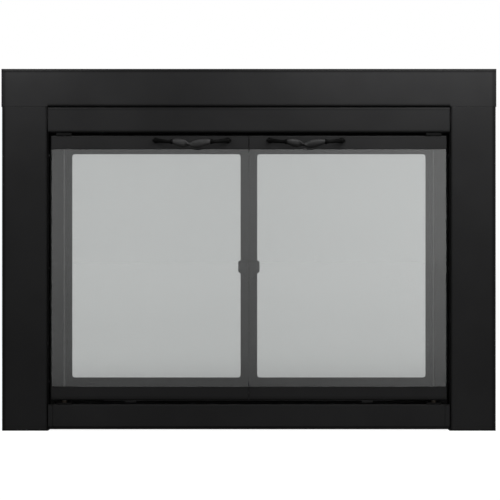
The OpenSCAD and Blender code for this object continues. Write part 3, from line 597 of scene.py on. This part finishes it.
def ease(q):
    """A share that starts and ends slowly."""
    return q * q * (3 - 2 * q)


def mix(a, b, q):
    """The number that lies the share q of the way from a to b."""
    return a + (b - a) * q


# ---- The pieces ----

CAD_FINISH = {
    "header_panel": "header", "left_leg_panel": "legs", "right_leg_panel": "legs",
    "top_rail": "top_rail", "lower_rail": "foot_rail", "lower_rail_ends": "foot_rail",
    "left_jamb": "jambs", "right_jamb": "jambs", "head_channel": "inner_frame",
    "sill_riser": "inner_frame", "hearth_plate": "inner_frame", "gate_stop": "inner_frame",
    "draft_slide": "black_steel", "draft_guides": "black_steel",
    "door_pivot_brackets": "pivots", "surround_nuts": "zinc",
    "hearth_brackets": "zinc", "lintel_clamps": "zinc", "magnet_poles": "zinc",
    "door_bushes": "bronze", "gate_bushes": "bronze", "magnet_housings": "plastic",
}
DOOR_FINISH = {
    "door_top_rail": "doors", "door_bottom_rail": "doors", "glass_gaskets": "gasket",
    "strike_plate": "zinc", "door_pins": "dull_zinc",
    "gate_stiles": "gates", "gate_rails": "gates", "gate_pins": "dull_zinc",
}


class DOOR_OT_finishes(bpy.types.Operator):
    """Give every steel, bronze, plastic and gasket piece of the frame its finish"""
    bl_idname = "fireplace.finishes"
    bl_label = "Finish the frame"

    def execute(self, context):
        MATERIALS.clear()
        materials = make_materials(context.scene)
        sides = {f"{side}_{node}": kind for side in SIDES for node, kind in DOOR_FINISH.items()}
        for node, kind in (CAD_FINISH | sides).items():
            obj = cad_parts[node]
            for slot in obj.material_slots:
                slot.link = "OBJECT"
                slot.material = materials[kind]
        return {"FINISHED"}


class DOOR_OT_glass(bpy.types.Operator):
    """Make the two panes with ground edges"""
    bl_idname = "fireplace.glass"
    bl_label = "Glass panes"

    def execute(self, context):
        edge = context.scene.door_glass.edge
        for side in SIDES:
            node = f"{side}_door_glass"
            low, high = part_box(node)
            pane = block(f"{side}_pane", low, high)
            modify(pane, "BEVEL", width=edge, segments=2, limit_method="ANGLE")
            tidy_mesh(pane, angle=20)
            dress(pane, f"{side}_door", "glass", "door_glass", node)
        return {"FINISHED"}


# How far the mesh's folded edge reaches inwards, up to the opening
HEM = 9 * MM


def opening(side):
    """The mesh opening of a gate, inside the frame's four sides."""
    low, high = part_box(f"{side}_mesh")
    hem = Vector((HEM, 0, HEM))
    return low + hem, high - hem


# Upright wires have six sides. Level ones have three, so their radius is more than half
# the wire's to look as thick.
WIRE_SIDES = 6
STRAND_SHARE = 0.58


def repeat(obj, axis, step, count, merge=False):
    """Copies of the object's mesh along one axis."""
    modify(obj, "ARRAY", count=count, use_relative_offset=False, use_constant_offset=True,
           constant_offset_displace=AXES[axis][0] * step,
           use_merge_vertices=merge, merge_threshold=1e-5)


def warp(name, low, high, weave):
    """Straight upright wires, side by side."""
    radius = weave.wire / 2
    wire = sweep(name, [ring_of(Vector((low.x, low.y, z)), AXES["x"][0], radius, AXES["y"][0],
                                radius, WIRE_SIDES) for z in (low.z, high.z)])
    repeat(wire, "x", weave.pitch, round((high.x - low.x) / weave.pitch) + 1)
    only(wire)
    bpy.ops.object.shade_smooth()
    return wire


def weft(name, low, high, weave, first, pairs):
    """Pairs of level wires that pass in front of and behind the upright ones by turns."""
    pitch, wire = weave.pitch, weave.wire
    thick = wire * STRAND_SHARE
    strands = []
    for k, hand in enumerate((1, -1)):
        start = low + Vector((0, 0, (first * 2 + k) * pitch))
        bends = [start + Vector((j * pitch, hand * wire * side, 0))
                 for j, side in enumerate((1, -1, 1))]
        rings = [ring_of(bend, AXES["z"][0], thick, AXES["y"][0], thick, 3, -math.pi / 2)
                 for bend in bends]
        strands.append(extruded(f"strand_{k}", rings, "NOTHING"))
    cell = join(name, strands)
    repeat(cell, "x", 2 * pitch, round((high.x - low.x) / (2 * pitch)), merge=True)
    repeat(cell, "z", 2 * pitch, pairs)
    only(cell)
    bpy.ops.object.mode_set(mode="EDIT")
    bpy.ops.mesh.select_all(action="DESELECT")
    bpy.ops.mesh.select_non_manifold(extend=False)
    bpy.ops.mesh.fill_holes(sides=3)
    bpy.ops.mesh.select_all(action="SELECT")
    bpy.ops.mesh.normals_make_consistent(inside=False)
    bpy.ops.object.mode_set(mode="OBJECT")
    bpy.ops.object.shade_smooth()
    return cell


def woven(low, high, weave):
    """The field that whole cells of the weave fill, centred in the opening."""
    cell = 2 * weave.pitch
    corners = []
    for a, b in ((low.x, high.x), (low.z, high.z)):
        half = round((b - a + 2 * weave.tuck) / cell) * cell / 2
        corners.append(((a + b) / 2 - half, (a + b) / 2 + half))
    y = (low.y + high.y) / 2
    return tuple(Vector((corners[0][k], y, corners[1][k])) for k in (0, 1))


class DOOR_OT_mesh_panels(bpy.types.Operator):
    """Weave the mesh of both gates and fold its hem"""
    bl_idname = "fireplace.mesh_panels"
    bl_label = "Woven mesh"

    def execute(self, context):
        weave = context.scene.door_weave
        for side in SIDES:
            field = woven(*opening(side), weave)
            pairs = round((field[1].z - field[0].z) / (2 * weave.pitch))
            lower = pairs // 2
            for piece in (warp(f"{side}_mesh_warp", *field, weave),
                          weft(f"{side}_mesh_lower_weft", *field, weave, 0, lower),
                          weft(f"{side}_mesh_upper_weft", *field, weave, lower, pairs - lower),
                          self.hem(side)):
                dress(piece, f"{side}_gate", "wire", "mesh_wire", f"{side}_mesh")
        return {"FINISHED"}

    def hem(self, side):
        """A folded strip of mesh edge that fills the gate's channels."""
        low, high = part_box(f"{side}_mesh")
        hem = block(f"{side}_mesh_hem", low, high, flat=True)
        bpy.ops.object.mode_set(mode="EDIT")
        bpy.ops.mesh.select_all(action="SELECT")
        bpy.ops.mesh.inset(thickness=HEM, depth=0)
        bpy.ops.mesh.delete(type="FACE")
        bpy.ops.object.mode_set(mode="OBJECT")
        modify(hem, "SOLIDIFY", thickness=high.y - low.y, offset=0)
        tidy_mesh(hem)
        modify(hem, "BEVEL", width=1.2 * MM, segments=3, limit_method="ANGLE")
        tidy_mesh(hem, angle=35)
        return hem


class DOOR_OT_handles(bpy.types.Operator):
    """Forge both handles: two leaves with half a twist between them"""
    bl_idname = "fireplace.handles"
    bl_label = "Handles"

    # The bar between the leaves: half its thickness and half its height
    BAR = (3.9 * MM, 4.4 * MM)
    # The share of the grip in which the half twist turns
    TURN = 0.32
    GRIP_STEPS = 96
    WING_STEPS = 26
    # Where along the wing its bar starts to run out in a tip
    WIDEST = 0.75
    # The feet's distance from the handle's middle
    FOOT_X = 0.080
    # Radii and heights in mm
    FOOT = [(6.5, 0.0), (6.5, -4.4), (6.3, -5.2), (5.7, -5.8), (4.9, -6.0)]
    COLLAR = [(4.2, -0.4), (5.2, 0.0), (5.7, 0.5), (5.2, 1.0), (5.9, 1.5), (6.4, 2.5),
              (5.9, 3.5), (5.2, 4.0), (5.7, 4.5), (5.2, 5.0), (4.0, 5.4)]

    def execute(self, context):
        sizes = context.scene.door_handles
        for side, hand in SIDES.items():
            node = f"{side}_handle"
            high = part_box(node)[1]
            x = hand * sizes.middle_x
            ends = []
            for end in (-1, 1):
                ends += [self.wing(sizes, x, end, high), self.collar(sizes, x, end),
                         self.foot(x, end, high)]
            grip = [self.grip(sizes, x)]
            for name, parts, finish in (("handle_ends", ends, "iron"),
                                        ("handle_grip", grip, f"{side}_grip")):
                piece = join(f"{side}_{name}", parts)
                smooth(piece, 50)
                dress(piece, f"{side}_door", finish, "handle_iron", node)
        return {"FINISHED"}

    def grip(self, sizes, x):
        """Two flattened leaves; the bar turns over between them and sags."""
        rings = []
        for k in range(self.GRIP_STEPS + 1):
            s = k / self.GRIP_STEPS
            shape = s / sizes.twist if s < sizes.twist else 2 - (1 - s) / (1 - sizes.twist)
            leaf = abs(math.sin(math.pi * shape)) ** 0.8
            turned_by = ease(min(1, max(0, (s - sizes.twist) / self.TURN + 0.5)))
            turn = -sizes.lean + math.pi * turned_by
            sag = math.sin(math.pi * s) ** 2
            centre = Vector((x + (s - 0.5) * (sizes.grip + 2 * MM), GRIP_Y,
                             mix(COLLAR_Z, GRIP_Z, sag)))
            u = Vector((0, math.cos(turn), math.sin(turn)))
            v = Vector((0, -math.sin(turn), math.cos(turn)))
            rings.append(ring_of(centre, u, mix(self.BAR[0], sizes.leaf_thickness, leaf),
                                 v, mix(self.BAR[1], sizes.leaf_height, leaf), 20))
        return sweep("grip", rings)

    def wing(self, sizes, x, end, high):
        """A bar that bends back to the door and runs out in a thin tip."""
        start = sizes.grip / 2 + 4 * MM
        tip = high.x - x
        door_y = high.y - 2.6 * MM

        def point(q):
            return Vector((x + end * mix(start, tip, q), mix(GRIP_Y, door_y, ease(q)),
                           mix(COLLAR_Z, FOOT_Z, ease(q))))

        rings = []
        for k in range(self.WING_STEPS + 1):
            q = k / self.WING_STEPS
            past = q - self.WIDEST
            height = 3.6 + 2 * q if past < 0 else 5.1 - 12 * past
            thick = 3.6 - 1.2 * q if past < 0 else 2.7 - 4 * past
            run = (point(q + 0.01) - point(q - 0.01)).normalized()
            up = (Vector((0, 0, 1)) - run * run.z).normalized()
            rings.append(ring_of(point(q), up.cross(run), thick * MM, up, height * MM, 16))
        return sweep("wing", rings)

    def collar(self, sizes, x, end):
        """A turned bead with a groove on each side."""
        foot = (x + end * sizes.grip / 2, GRIP_Y, COLLAR_Z)
        return turned("collar", foot, "x", self.COLLAR, 28, hand=end)

    def foot(self, x, end, high):
        """A round foot with a soft shoulder, flat against the door's rail."""
        return turned("foot", (x + end * self.FOOT_X, high.y, FOOT_Z), "y", self.FOOT)


class DOOR_OT_gate_corners(bpy.types.Operator):
    """Fill the inner corners of the gates' frames with rounded gusset plates"""
    bl_idname = "fireplace.gate_corners"
    bl_label = "Gate corners"

    RADIUS = 6 * MM
    PLATE = 1.2 * MM
    ARC_STEPS = 10

    def execute(self, context):
        for side in SIDES:
            low, high = opening(side)
            gate_low, gate_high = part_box(f"{side}_gate_stiles")
            plates = []
            for x, hx in ((low.x, 1), (high.x, -1)):
                for z, hz in ((low.z, 1), (high.z, -1)):
                    for y in (gate_low.y, gate_high.y - self.PLATE):
                        plates.append(self.plate(x, hx, z, hz, y))
            corners = join(f"{side}_gate_corners", plates)
            tidy_mesh(corners, angle=30)
            dress(corners, f"{side}_gate", "gates", "gate_paint")
        return {"FINISHED"}

    def plate(self, x, hx, z, hz, y):
        """One plate: two straight edges in the corner and a hollow round one."""
        r, steps = self.RADIUS, self.ARC_STEPS
        angles = [math.pi / 2 * k / steps for k in range(steps, -1, -1)]
        outline = [(0.0, 0.0)] + [(r - r * math.cos(a), r - r * math.sin(a)) for a in angles]
        rings = [[Vector((x + hx * a, y + t, z + hz * b)) for a, b in outline]
                 for t in (0, self.PLATE)]
        return sweep("corner_plate", rings)


class DOOR_OT_gate_pulls(bpy.types.Operator):
    """Shape the small pulls at the gates' meeting stiles"""
    bl_idname = "fireplace.gate_pulls"
    bl_label = "Gate pulls"

    THICK = 3 * MM
    CORNER = 3 * MM
    # The slanted tongue under the plate: its height, and its widths below and above
    TONGUE = (10 * MM, 4 * MM, 14 * MM)
    POST_X = 9.75 * MM

    def execute(self, context):
        for side, hand in SIDES.items():
            node = f"{side}_gate_pull"
            low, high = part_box(node)
            x0, x1 = sorted((abs(low.x), abs(high.x)))
            drop, near, far = self.TONGUE
            r = self.CORNER
            z0 = low.z + drop
            outline = [(x0, z0 - drop), (x0 + near, z0 - drop), (x0 + far, z0),
                       (x1 - r, z0), (x1, z0 + r), (x1, high.z - r),
                       (x1 - r, high.z), (x0, high.z)]
            rings = [[Vector((hand * a, y, b)) for a, b in outline]
                     for y in (low.y, low.y + self.THICK)]
            plate = sweep("pull_plate", rings)
            modify(plate, "BEVEL", width=0.9 * MM, segments=3, limit_method="ANGLE",
                   angle_limit=math.radians(25))
            top = (low.y - high.y) / MM
            profile = [(5.2, 0.0), (5.2, -0.8), (4.0, -2.2), (3.7, top + 4.2), (4.4, top + 2.6)]
            post = turned("pull_post", (hand * self.POST_X, high.y, (z0 + high.z) / 2), "y",
                          profile, 24)
            pull = join(f"{side}_pull", [plate, post])
            smooth(pull, 35)
            dress(pull, f"{side}_gate", "gates", "gate_paint", node)
        return {"FINISHED"}


class DOOR_OT_insulation(bpy.types.Operator):
    """Lay the strips of glass wool behind the panels"""
    bl_idname = "fireplace.insulation"
    bl_label = "Glass wool"

    # The side of a cell of the wool's surface, and how deep its hollows are
    CELL = 7 * MM
    HOLLOW = 3.5 * MM

    def execute(self, context):
        clouds = bpy.data.textures.new("wool_clouds", "CLOUDS")
        clouds.noise_scale = 35 * MM
        clouds.noise_depth = 3
        for node in ("left_insulation", "right_insulation", "top_insulation"):
            low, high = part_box(node)
            strip = block(node.replace("insulation", "wool_strip"), low, high)
            self.cut_up(strip, low, high)
            modify(strip, "BEVEL", width=2 * MM, segments=2, limit_method="ANGLE",
                   angle_limit=math.radians(60))
            modify(strip, "DISPLACE", texture=clouds, texture_coords="LOCAL",
                   mid_level=0.92, strength=self.HOLLOW)
            for vertex in strip.data.vertices:
                for axis in range(3):
                    vertex.co[axis] = min(high[axis], max(low[axis], vertex.co[axis]))
            tidy_mesh(strip, merge=1e-7, angle=80)
            dress(strip, "surround", "wool", "insulation_wool", node)
        return {"FINISHED"}

    def cut_up(self, strip, low, high):
        """Divides the block into cells of about the same size along every edge."""
        only(strip)
        bpy.ops.object.mode_set(mode="EDIT")
        for axis in range(3):
            count = max(1, round((high[axis] - low[axis]) / self.CELL))
            normal = [0, 0, 0]
            normal[axis] = 1
            for k in range(1, count):
                place = (low + high) / 2
                place[axis] = mix(low[axis], high[axis], k / count)
                bpy.ops.mesh.select_all(action="SELECT")
                bpy.ops.mesh.bisect(plane_co=place, plane_no=normal)
        bpy.ops.object.mode_set(mode="OBJECT")


# The width of a screw's head, in radii of its shank
HEAD_WIDTH = 3.5


def screw_places(node):
    """Each screw of a CAD node: the middle of its head's top, its axis, the side of the head
    along it, the shank's radius and the whole length."""
    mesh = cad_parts[node].data
    points = np.array([v.co for v in mesh.vertices])
    keys = {}
    index = [keys.setdefault(tuple(np.round(p, 5)), len(keys)) for p in points]
    parent = list(range(len(keys)))

    def root(i):
        while parent[i] != i:
            parent[i] = parent[parent[i]]
            i = parent[i]
        return i

    for polygon in mesh.polygons:
        corners = [index[i] for i in polygon.vertices]
        for other in corners[1:]:
            parent[root(corners[0])] = root(other)
    groups = {}
    for key, i in keys.items():
        groups.setdefault(root(i), []).append(key)
    found = []
    for group in groups.values():
        cloud = np.array(group)
        low, high = cloud.min(0), cloud.max(0)
        offset = cloud.mean(0) - (low + high) / 2
        axis = int(np.argmax(abs(offset)))
        hand = 1 if offset[axis] > 0 else -1
        middle = (low + high) / 2
        middle[axis] = high[axis] if hand > 0 else low[axis]
        other = (axis + 1) % 3
        radius = (high[other] - low[other]) / HEAD_WIDTH
        found.append((Vector(middle), "xyz"[axis], hand, radius, high[axis] - low[axis]))
    return sorted(found, key=lambda s: tuple(round(c, 4) for c in s[0]))


class DOOR_OT_screws(bpy.types.Operator):
    """Turn every screw with a rounded head and a cross recess"""
    bl_idname = "fireplace.screws"
    bl_label = "Screws"

    SLOTS = {"zinc": "zinc_steel", "black_steel": "black_steel"}
    GROUPS = [
        ("surround_bolts", "surround", "zinc"),
        ("jamb_screws", "surround", "black_steel"),
        ("bracket_screws", "surround", "zinc"),
        ("pivot_bracket_screws", "surround", "black_steel"),
        *((f"{side}_{kind}_screws", f"{side}_door", "black_steel")
          for kind in ("clamp", "handle") for side in ("left", "right")),
    ]
    # The head, as radii and heights in radii of the shank, and the reach of its recess
    HEAD = [(0.35, 0.0), (0.9, -0.02), (1.3, -0.12), (1.6, -0.35), (1.75, -0.62),
            (1.72, -0.8), (1.02, -0.8)]
    RECESS = (0.85, 0.17, 0.45)

    def execute(self, context):
        for node, body, finish in self.GROUPS:
            places = screw_places(node)
            pattern = self.screw(*places[0][3:])
            screws = join(f"{node}_cut", [self.placed(pattern, *at[:3]) for at in places])
            bpy.data.objects.remove(pattern)
            smooth(screws, 35)
            dress(screws, body, finish, self.SLOTS[finish], node)
        return {"FINISHED"}

    def screw(self, r, whole):
        """A screw that hangs below the origin, its head's top at the origin."""
        profile = self.HEAD + [(0.98, -whole / r)]
        screw = turned("screw", (0, 0, 0), "z", [(a * r / MM, b * r / MM) for a, b in profile],
                       20)
        reach = Vector(self.RECESS) * r
        for turn in (0, math.pi / 2):
            cutter = block("cutter", -reach, reach)
            cutter.rotation_euler.z = turn
            settle(cutter)
            modify(screw, "BOOLEAN", object=cutter, operation="DIFFERENCE", solver="EXACT")
            bpy.data.objects.remove(cutter)
        return screw

    def placed(self, pattern, top, axis, hand):
        """A copy of the pattern, turned to its axis and moved to its place."""
        copy = pattern.copy()
        copy.data = pattern.data.copy()
        bpy.context.scene.collection.objects.link(copy)
        copy.rotation_euler = {
            "x": (0, hand * math.pi / 2, 0),
            "y": (-hand * math.pi / 2, 0, 0),
            "z": (0 if hand > 0 else math.pi, 0, 0),
        }[axis]
        copy.location = top
        settle(copy)
        return copy


class DOOR_OT_knobs(bpy.types.Operator):
    """Turn the air control's knob and the lintel screws"""
    bl_idname = "fireplace.knobs"
    bl_label = "Knobs"

    def execute(self, context):
        low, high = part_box("draft_knob")
        middle = (low + high) / 2
        radius = (high.x - low.x) / 2 / MM
        deep = (high.y - low.y) / MM
        profile = [(0.6, 0.5), (radius - 3.2, 0.35), (radius - 1.9, 0.0), (radius - 0.8, 0.25),
                   (radius - 0.2, 0.9), (radius, 1.8), (radius - 0.6, 4.6), (radius - 0.2, 7.6),
                   (radius - 0.8, 8.7), (radius - 1.6, 9.0), (3.4, 9.0), (3.0, 9.6), (3.0, deep)]
        knob = turned("air_knob", (middle.x, low.y, middle.z), "y", profile, 40)
        smooth(knob, 40)
        dress(knob, "air_control", "plastic", "knob_plastic", "draft_knob")
        self.lintel_screws()
        return {"FINISHED"}

    # The lintel screws: pitch of the thread, radius of its crest and root, and of the knob
    PITCH = 1.2
    CREST, ROOT = 2.95, 2.55
    KNOB = 10.0
    KNOB_DEEP = 7.5

    def lintel_screws(self):
        """A threaded rod with a pad in front and a grooved knob behind."""
        low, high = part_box("lintel_screws")
        deep = (high.y - low.y) / MM
        shank = deep - self.KNOB_DEEP
        big, groove = self.KNOB, self.KNOB - 0.4
        profile = [(0.8, 0.0), (5.4, 0.0), (6.0, 0.6), (6.0, 2.4), (5.4, 3.0), (3.2, 4.0)]
        for k in range(int((shank - 6) / self.PITCH)):
            profile += [(self.CREST, 4.6 + self.PITCH * k), (self.ROOT, 5.2 + self.PITCH * k)]
        profile += [(3.0, shank - 0.6), (3.0, shank), (big - 0.8, shank), (big, shank + 0.8),
                    (groove, shank + 2.0), (big, shank + 3.2), (groove, shank + 4.4),
                    (big, shank + 5.6), (big - 0.8, deep - 0.6), (8.5, deep), (0.8, deep)]
        foot = Vector((high.x - self.KNOB * MM, low.y, (low.z + high.z) / 2))
        screws = [turned("lintel_screw", foot * Vector((hand, 1, 1)), "y", profile, 28)
                  for hand in (-1, 1)]
        rods = join("lintel_screws_cut", screws)
        smooth(rods, 30)
        dress(rods, "surround", "zinc", "zinc_steel", "lintel_screws")


class DOOR_OT_studio(bpy.types.Operator):
    """Set up the floor, the lamps, the white background and the camera"""
    bl_idname = "fireplace.studio"
    bl_label = "Studio"

    AIM_Z = 0.4
    # The large lamps: place and size
    FRONT_LAMP = ((0.4, -5.6, 2.1), (2.5, 1.5))
    BACK_LAMP = ((-1.6, 3.0, 2.4), (2.0, 1.6))
    # The lamps above the header: place along X and share of the power
    STRIPS = [(-0.62, 0.83), (0.25, 0.645), (0.70, 1.0)]
    # What the glass mirrors: a start and an end of the X or Z of a ray's direction, and the
    # brightness at each
    RIGHTWARDS = (0.0, 0.1, 1.13, 2.0)
    UPWARDS = (-0.06, 0.05, 0.98, 1.34)
    # How bright the horizon is through the glass, and the floor's own glow
    HORIZON = 0.965
    FLOOR_GLOW = 0.90
    # The floor brightens with its distance d from the object: as (d + near) / (d + far)
    # where it is mirrored, and as d * d / (d * d + fade) through the glass
    MIRRORED_FADE = (1.3, 3.1)
    THROUGH_FADE = 1.45

    def execute(self, context):
        studio = context.scene.door_studio
        aim = (0, 0, self.AIM_Z)
        self.camera(context.scene, studio)
        self.floor(studio)
        self.background(context.scene, studio.daylight)
        for name, (place, size), power in (
                ("front_lamp", self.FRONT_LAMP, studio.front_power),
                ("back_lamp", self.BACK_LAMP, studio.back_power)):
            self.lamp(name, place, aim, size, power)
        for number, (x, part) in enumerate(self.STRIPS):
            self.lamp(f"strip_lamp_{number}", (x, -0.3, 1.05), (x, FRONT_Y, 0.6), (0.45, 0.12),
                      part * studio.strip_power)
        context.scene.view_settings.view_transform = "Standard"
        return {"FINISHED"}

    def camera(self, scene, studio):
        """A level camera straight in front, near the height of the object's middle."""
        clear_selection()
        bpy.ops.object.camera_add(
            location=(2.5 * MM, FRONT_Y - studio.distance, studio.height),
            rotation=(math.pi / 2, 0, 0))
        camera = bpy.context.object
        camera.name = "camera"
        camera.data.sensor_width = 36
        camera.data.lens = studio.lens
        camera.data.clip_end = 200
        scene.camera = camera

    def mirrored(self, nodes, aside, rise):
        """What the glass mirrors: a room that is brighter on the right and higher up."""
        return nodes.sum("MULTIPLY", nodes.ramp(aside, *self.RIGHTWARDS),
                         nodes.ramp(rise, *self.UPWARDS))

    def seen(self, nodes, mirrored, through):
        """1 for rays from the camera, and the two shares for mirrored rays and through glass."""
        path = nodes.node("ShaderNodeLightPath").outputs
        passed = path["Is Transmission Ray"]
        direct = nodes.sum("MAXIMUM", path["Is Camera Ray"],
                           nodes.sum("MULTIPLY", passed, through))
        glossy = nodes.sum("MULTIPLY", nodes.sum("SUBTRACT", path["Is Glossy Ray"], passed),
                           mirrored)
        return nodes.sum("MAXIMUM", direct, glossy)

    def floor(self, studio):
        """A white floor that looks darker near the object in the glass and through it."""
        clear_selection()
        bpy.ops.mesh.primitive_plane_add(size=120, location=(0, 0, 0))
        floor = named("floor")
        f = Finish("studio_floor", Base_Color=(0.30, 0.30, 0.30), Roughness=0.9,
                   Specular_IOR_Level=0.0, Emission_Color=(1, 1, 1))
        away = f.node("ShaderNodeVectorMath", {0: f.place}, operation="LENGTH").outputs["Value"]
        near, far = self.MIRRORED_FADE
        faded = f.sum("DIVIDE", f.sum("ADD", away, near), f.sum("ADD", away, far))
        place = f.split(f.place)
        deep = f.sum("ADD", f.sum("ABSOLUTE", place["Y"]), studio.distance)
        room = self.mirrored(f, f.sum("DIVIDE", place["X"], deep),
                             f.sum("DIVIDE", -studio.height, deep))
        square = f.sum("MULTIPLY", away, away)
        through = f.sum("DIVIDE", square, f.sum("ADD", square, self.THROUGH_FADE))
        seen = self.seen(f, f.sum("MULTIPLY", room, faded), through)
        floor.data.materials.append(
            f.set(Emission_Strength=f.sum("MULTIPLY", seen, self.FLOOR_GLOW)))

    def background(self, scene, daylight):
        """A world that is white to the camera and lights the object evenly."""
        world = scene.world or bpy.data.worlds.new("studio_world")
        scene.world = world
        world.use_nodes = True
        w = Nodes(world.node_tree)
        background = w.tree.nodes["Background"]
        way = w.split(w.node("ShaderNodeTexCoord").outputs["Generated"])
        seen = self.seen(w, self.mirrored(w, way["X"], way["Z"]), self.HORIZON)
        w.put(background, "Color", (1, 1, 1))
        w.put(background, "Strength", w.sum("MAXIMUM", seen, daylight))

    def lamp(self, name, place, target, size, power):
        """A rectangular lamp that shines from its place at a target."""
        clear_selection()
        bpy.ops.object.light_add(type="AREA", location=place)
        lamp = bpy.context.object
        lamp.name = name
        lamp.data.shape = "RECTANGLE"
        lamp.data.size, lamp.data.size_y = size
        lamp.data.energy = power
        lamp.rotation_euler = (Vector(target) - Vector(place)).to_track_quat("-Z", "Y").to_euler()


STEPS = [DOOR_OT_finishes, DOOR_OT_glass, DOOR_OT_mesh_panels, DOOR_OT_handles,
         DOOR_OT_gate_corners, DOOR_OT_gate_pulls, DOOR_OT_insulation, DOOR_OT_screws,
         DOOR_OT_knobs, DOOR_OT_studio]
SETTINGS = {"door_paint": PaintSettings, "door_glass": GlassSettings,
            "door_weave": WeaveSettings, "door_handles": HandleSettings,
            "door_studio": StudioSettings}


class DOOR_PT_panel(bpy.types.Panel):
    """Sizes, colours and steps of the fireplace door"""
    bl_label = "Fireplace Door"
    bl_idname = "DOOR_PT_panel"
    bl_space_type = "VIEW_3D"
    bl_region_type = "UI"
    bl_category = "Fireplace Door"

    def draw(self, context):
        for name, group in SETTINGS.items():
            box = self.layout.box()
            for prop in group.__annotations__:
                box.prop(getattr(context.scene, name), prop)
        for step in STEPS:
            self.layout.operator(step.bl_idname)


def register():
    for cls in [*SETTINGS.values(), *STEPS, DOOR_PT_panel]:
        bpy.utils.register_class(cls)
    for name, group in SETTINGS.items():
        setattr(bpy.types.Scene, name, bpy.props.PointerProperty(type=group))


def unregister():
    for name in SETTINGS:
        delattr(bpy.types.Scene, name)
    for cls in reversed([*SETTINGS.values(), *STEPS, DOOR_PT_panel]):
        bpy.utils.unregister_class(cls)


def main():
    register()
    for step in STEPS:
        group, name = step.bl_idname.split(".")
        getattr(getattr(bpy.ops, group), name)()


if __name__ == "__main__":
    main()
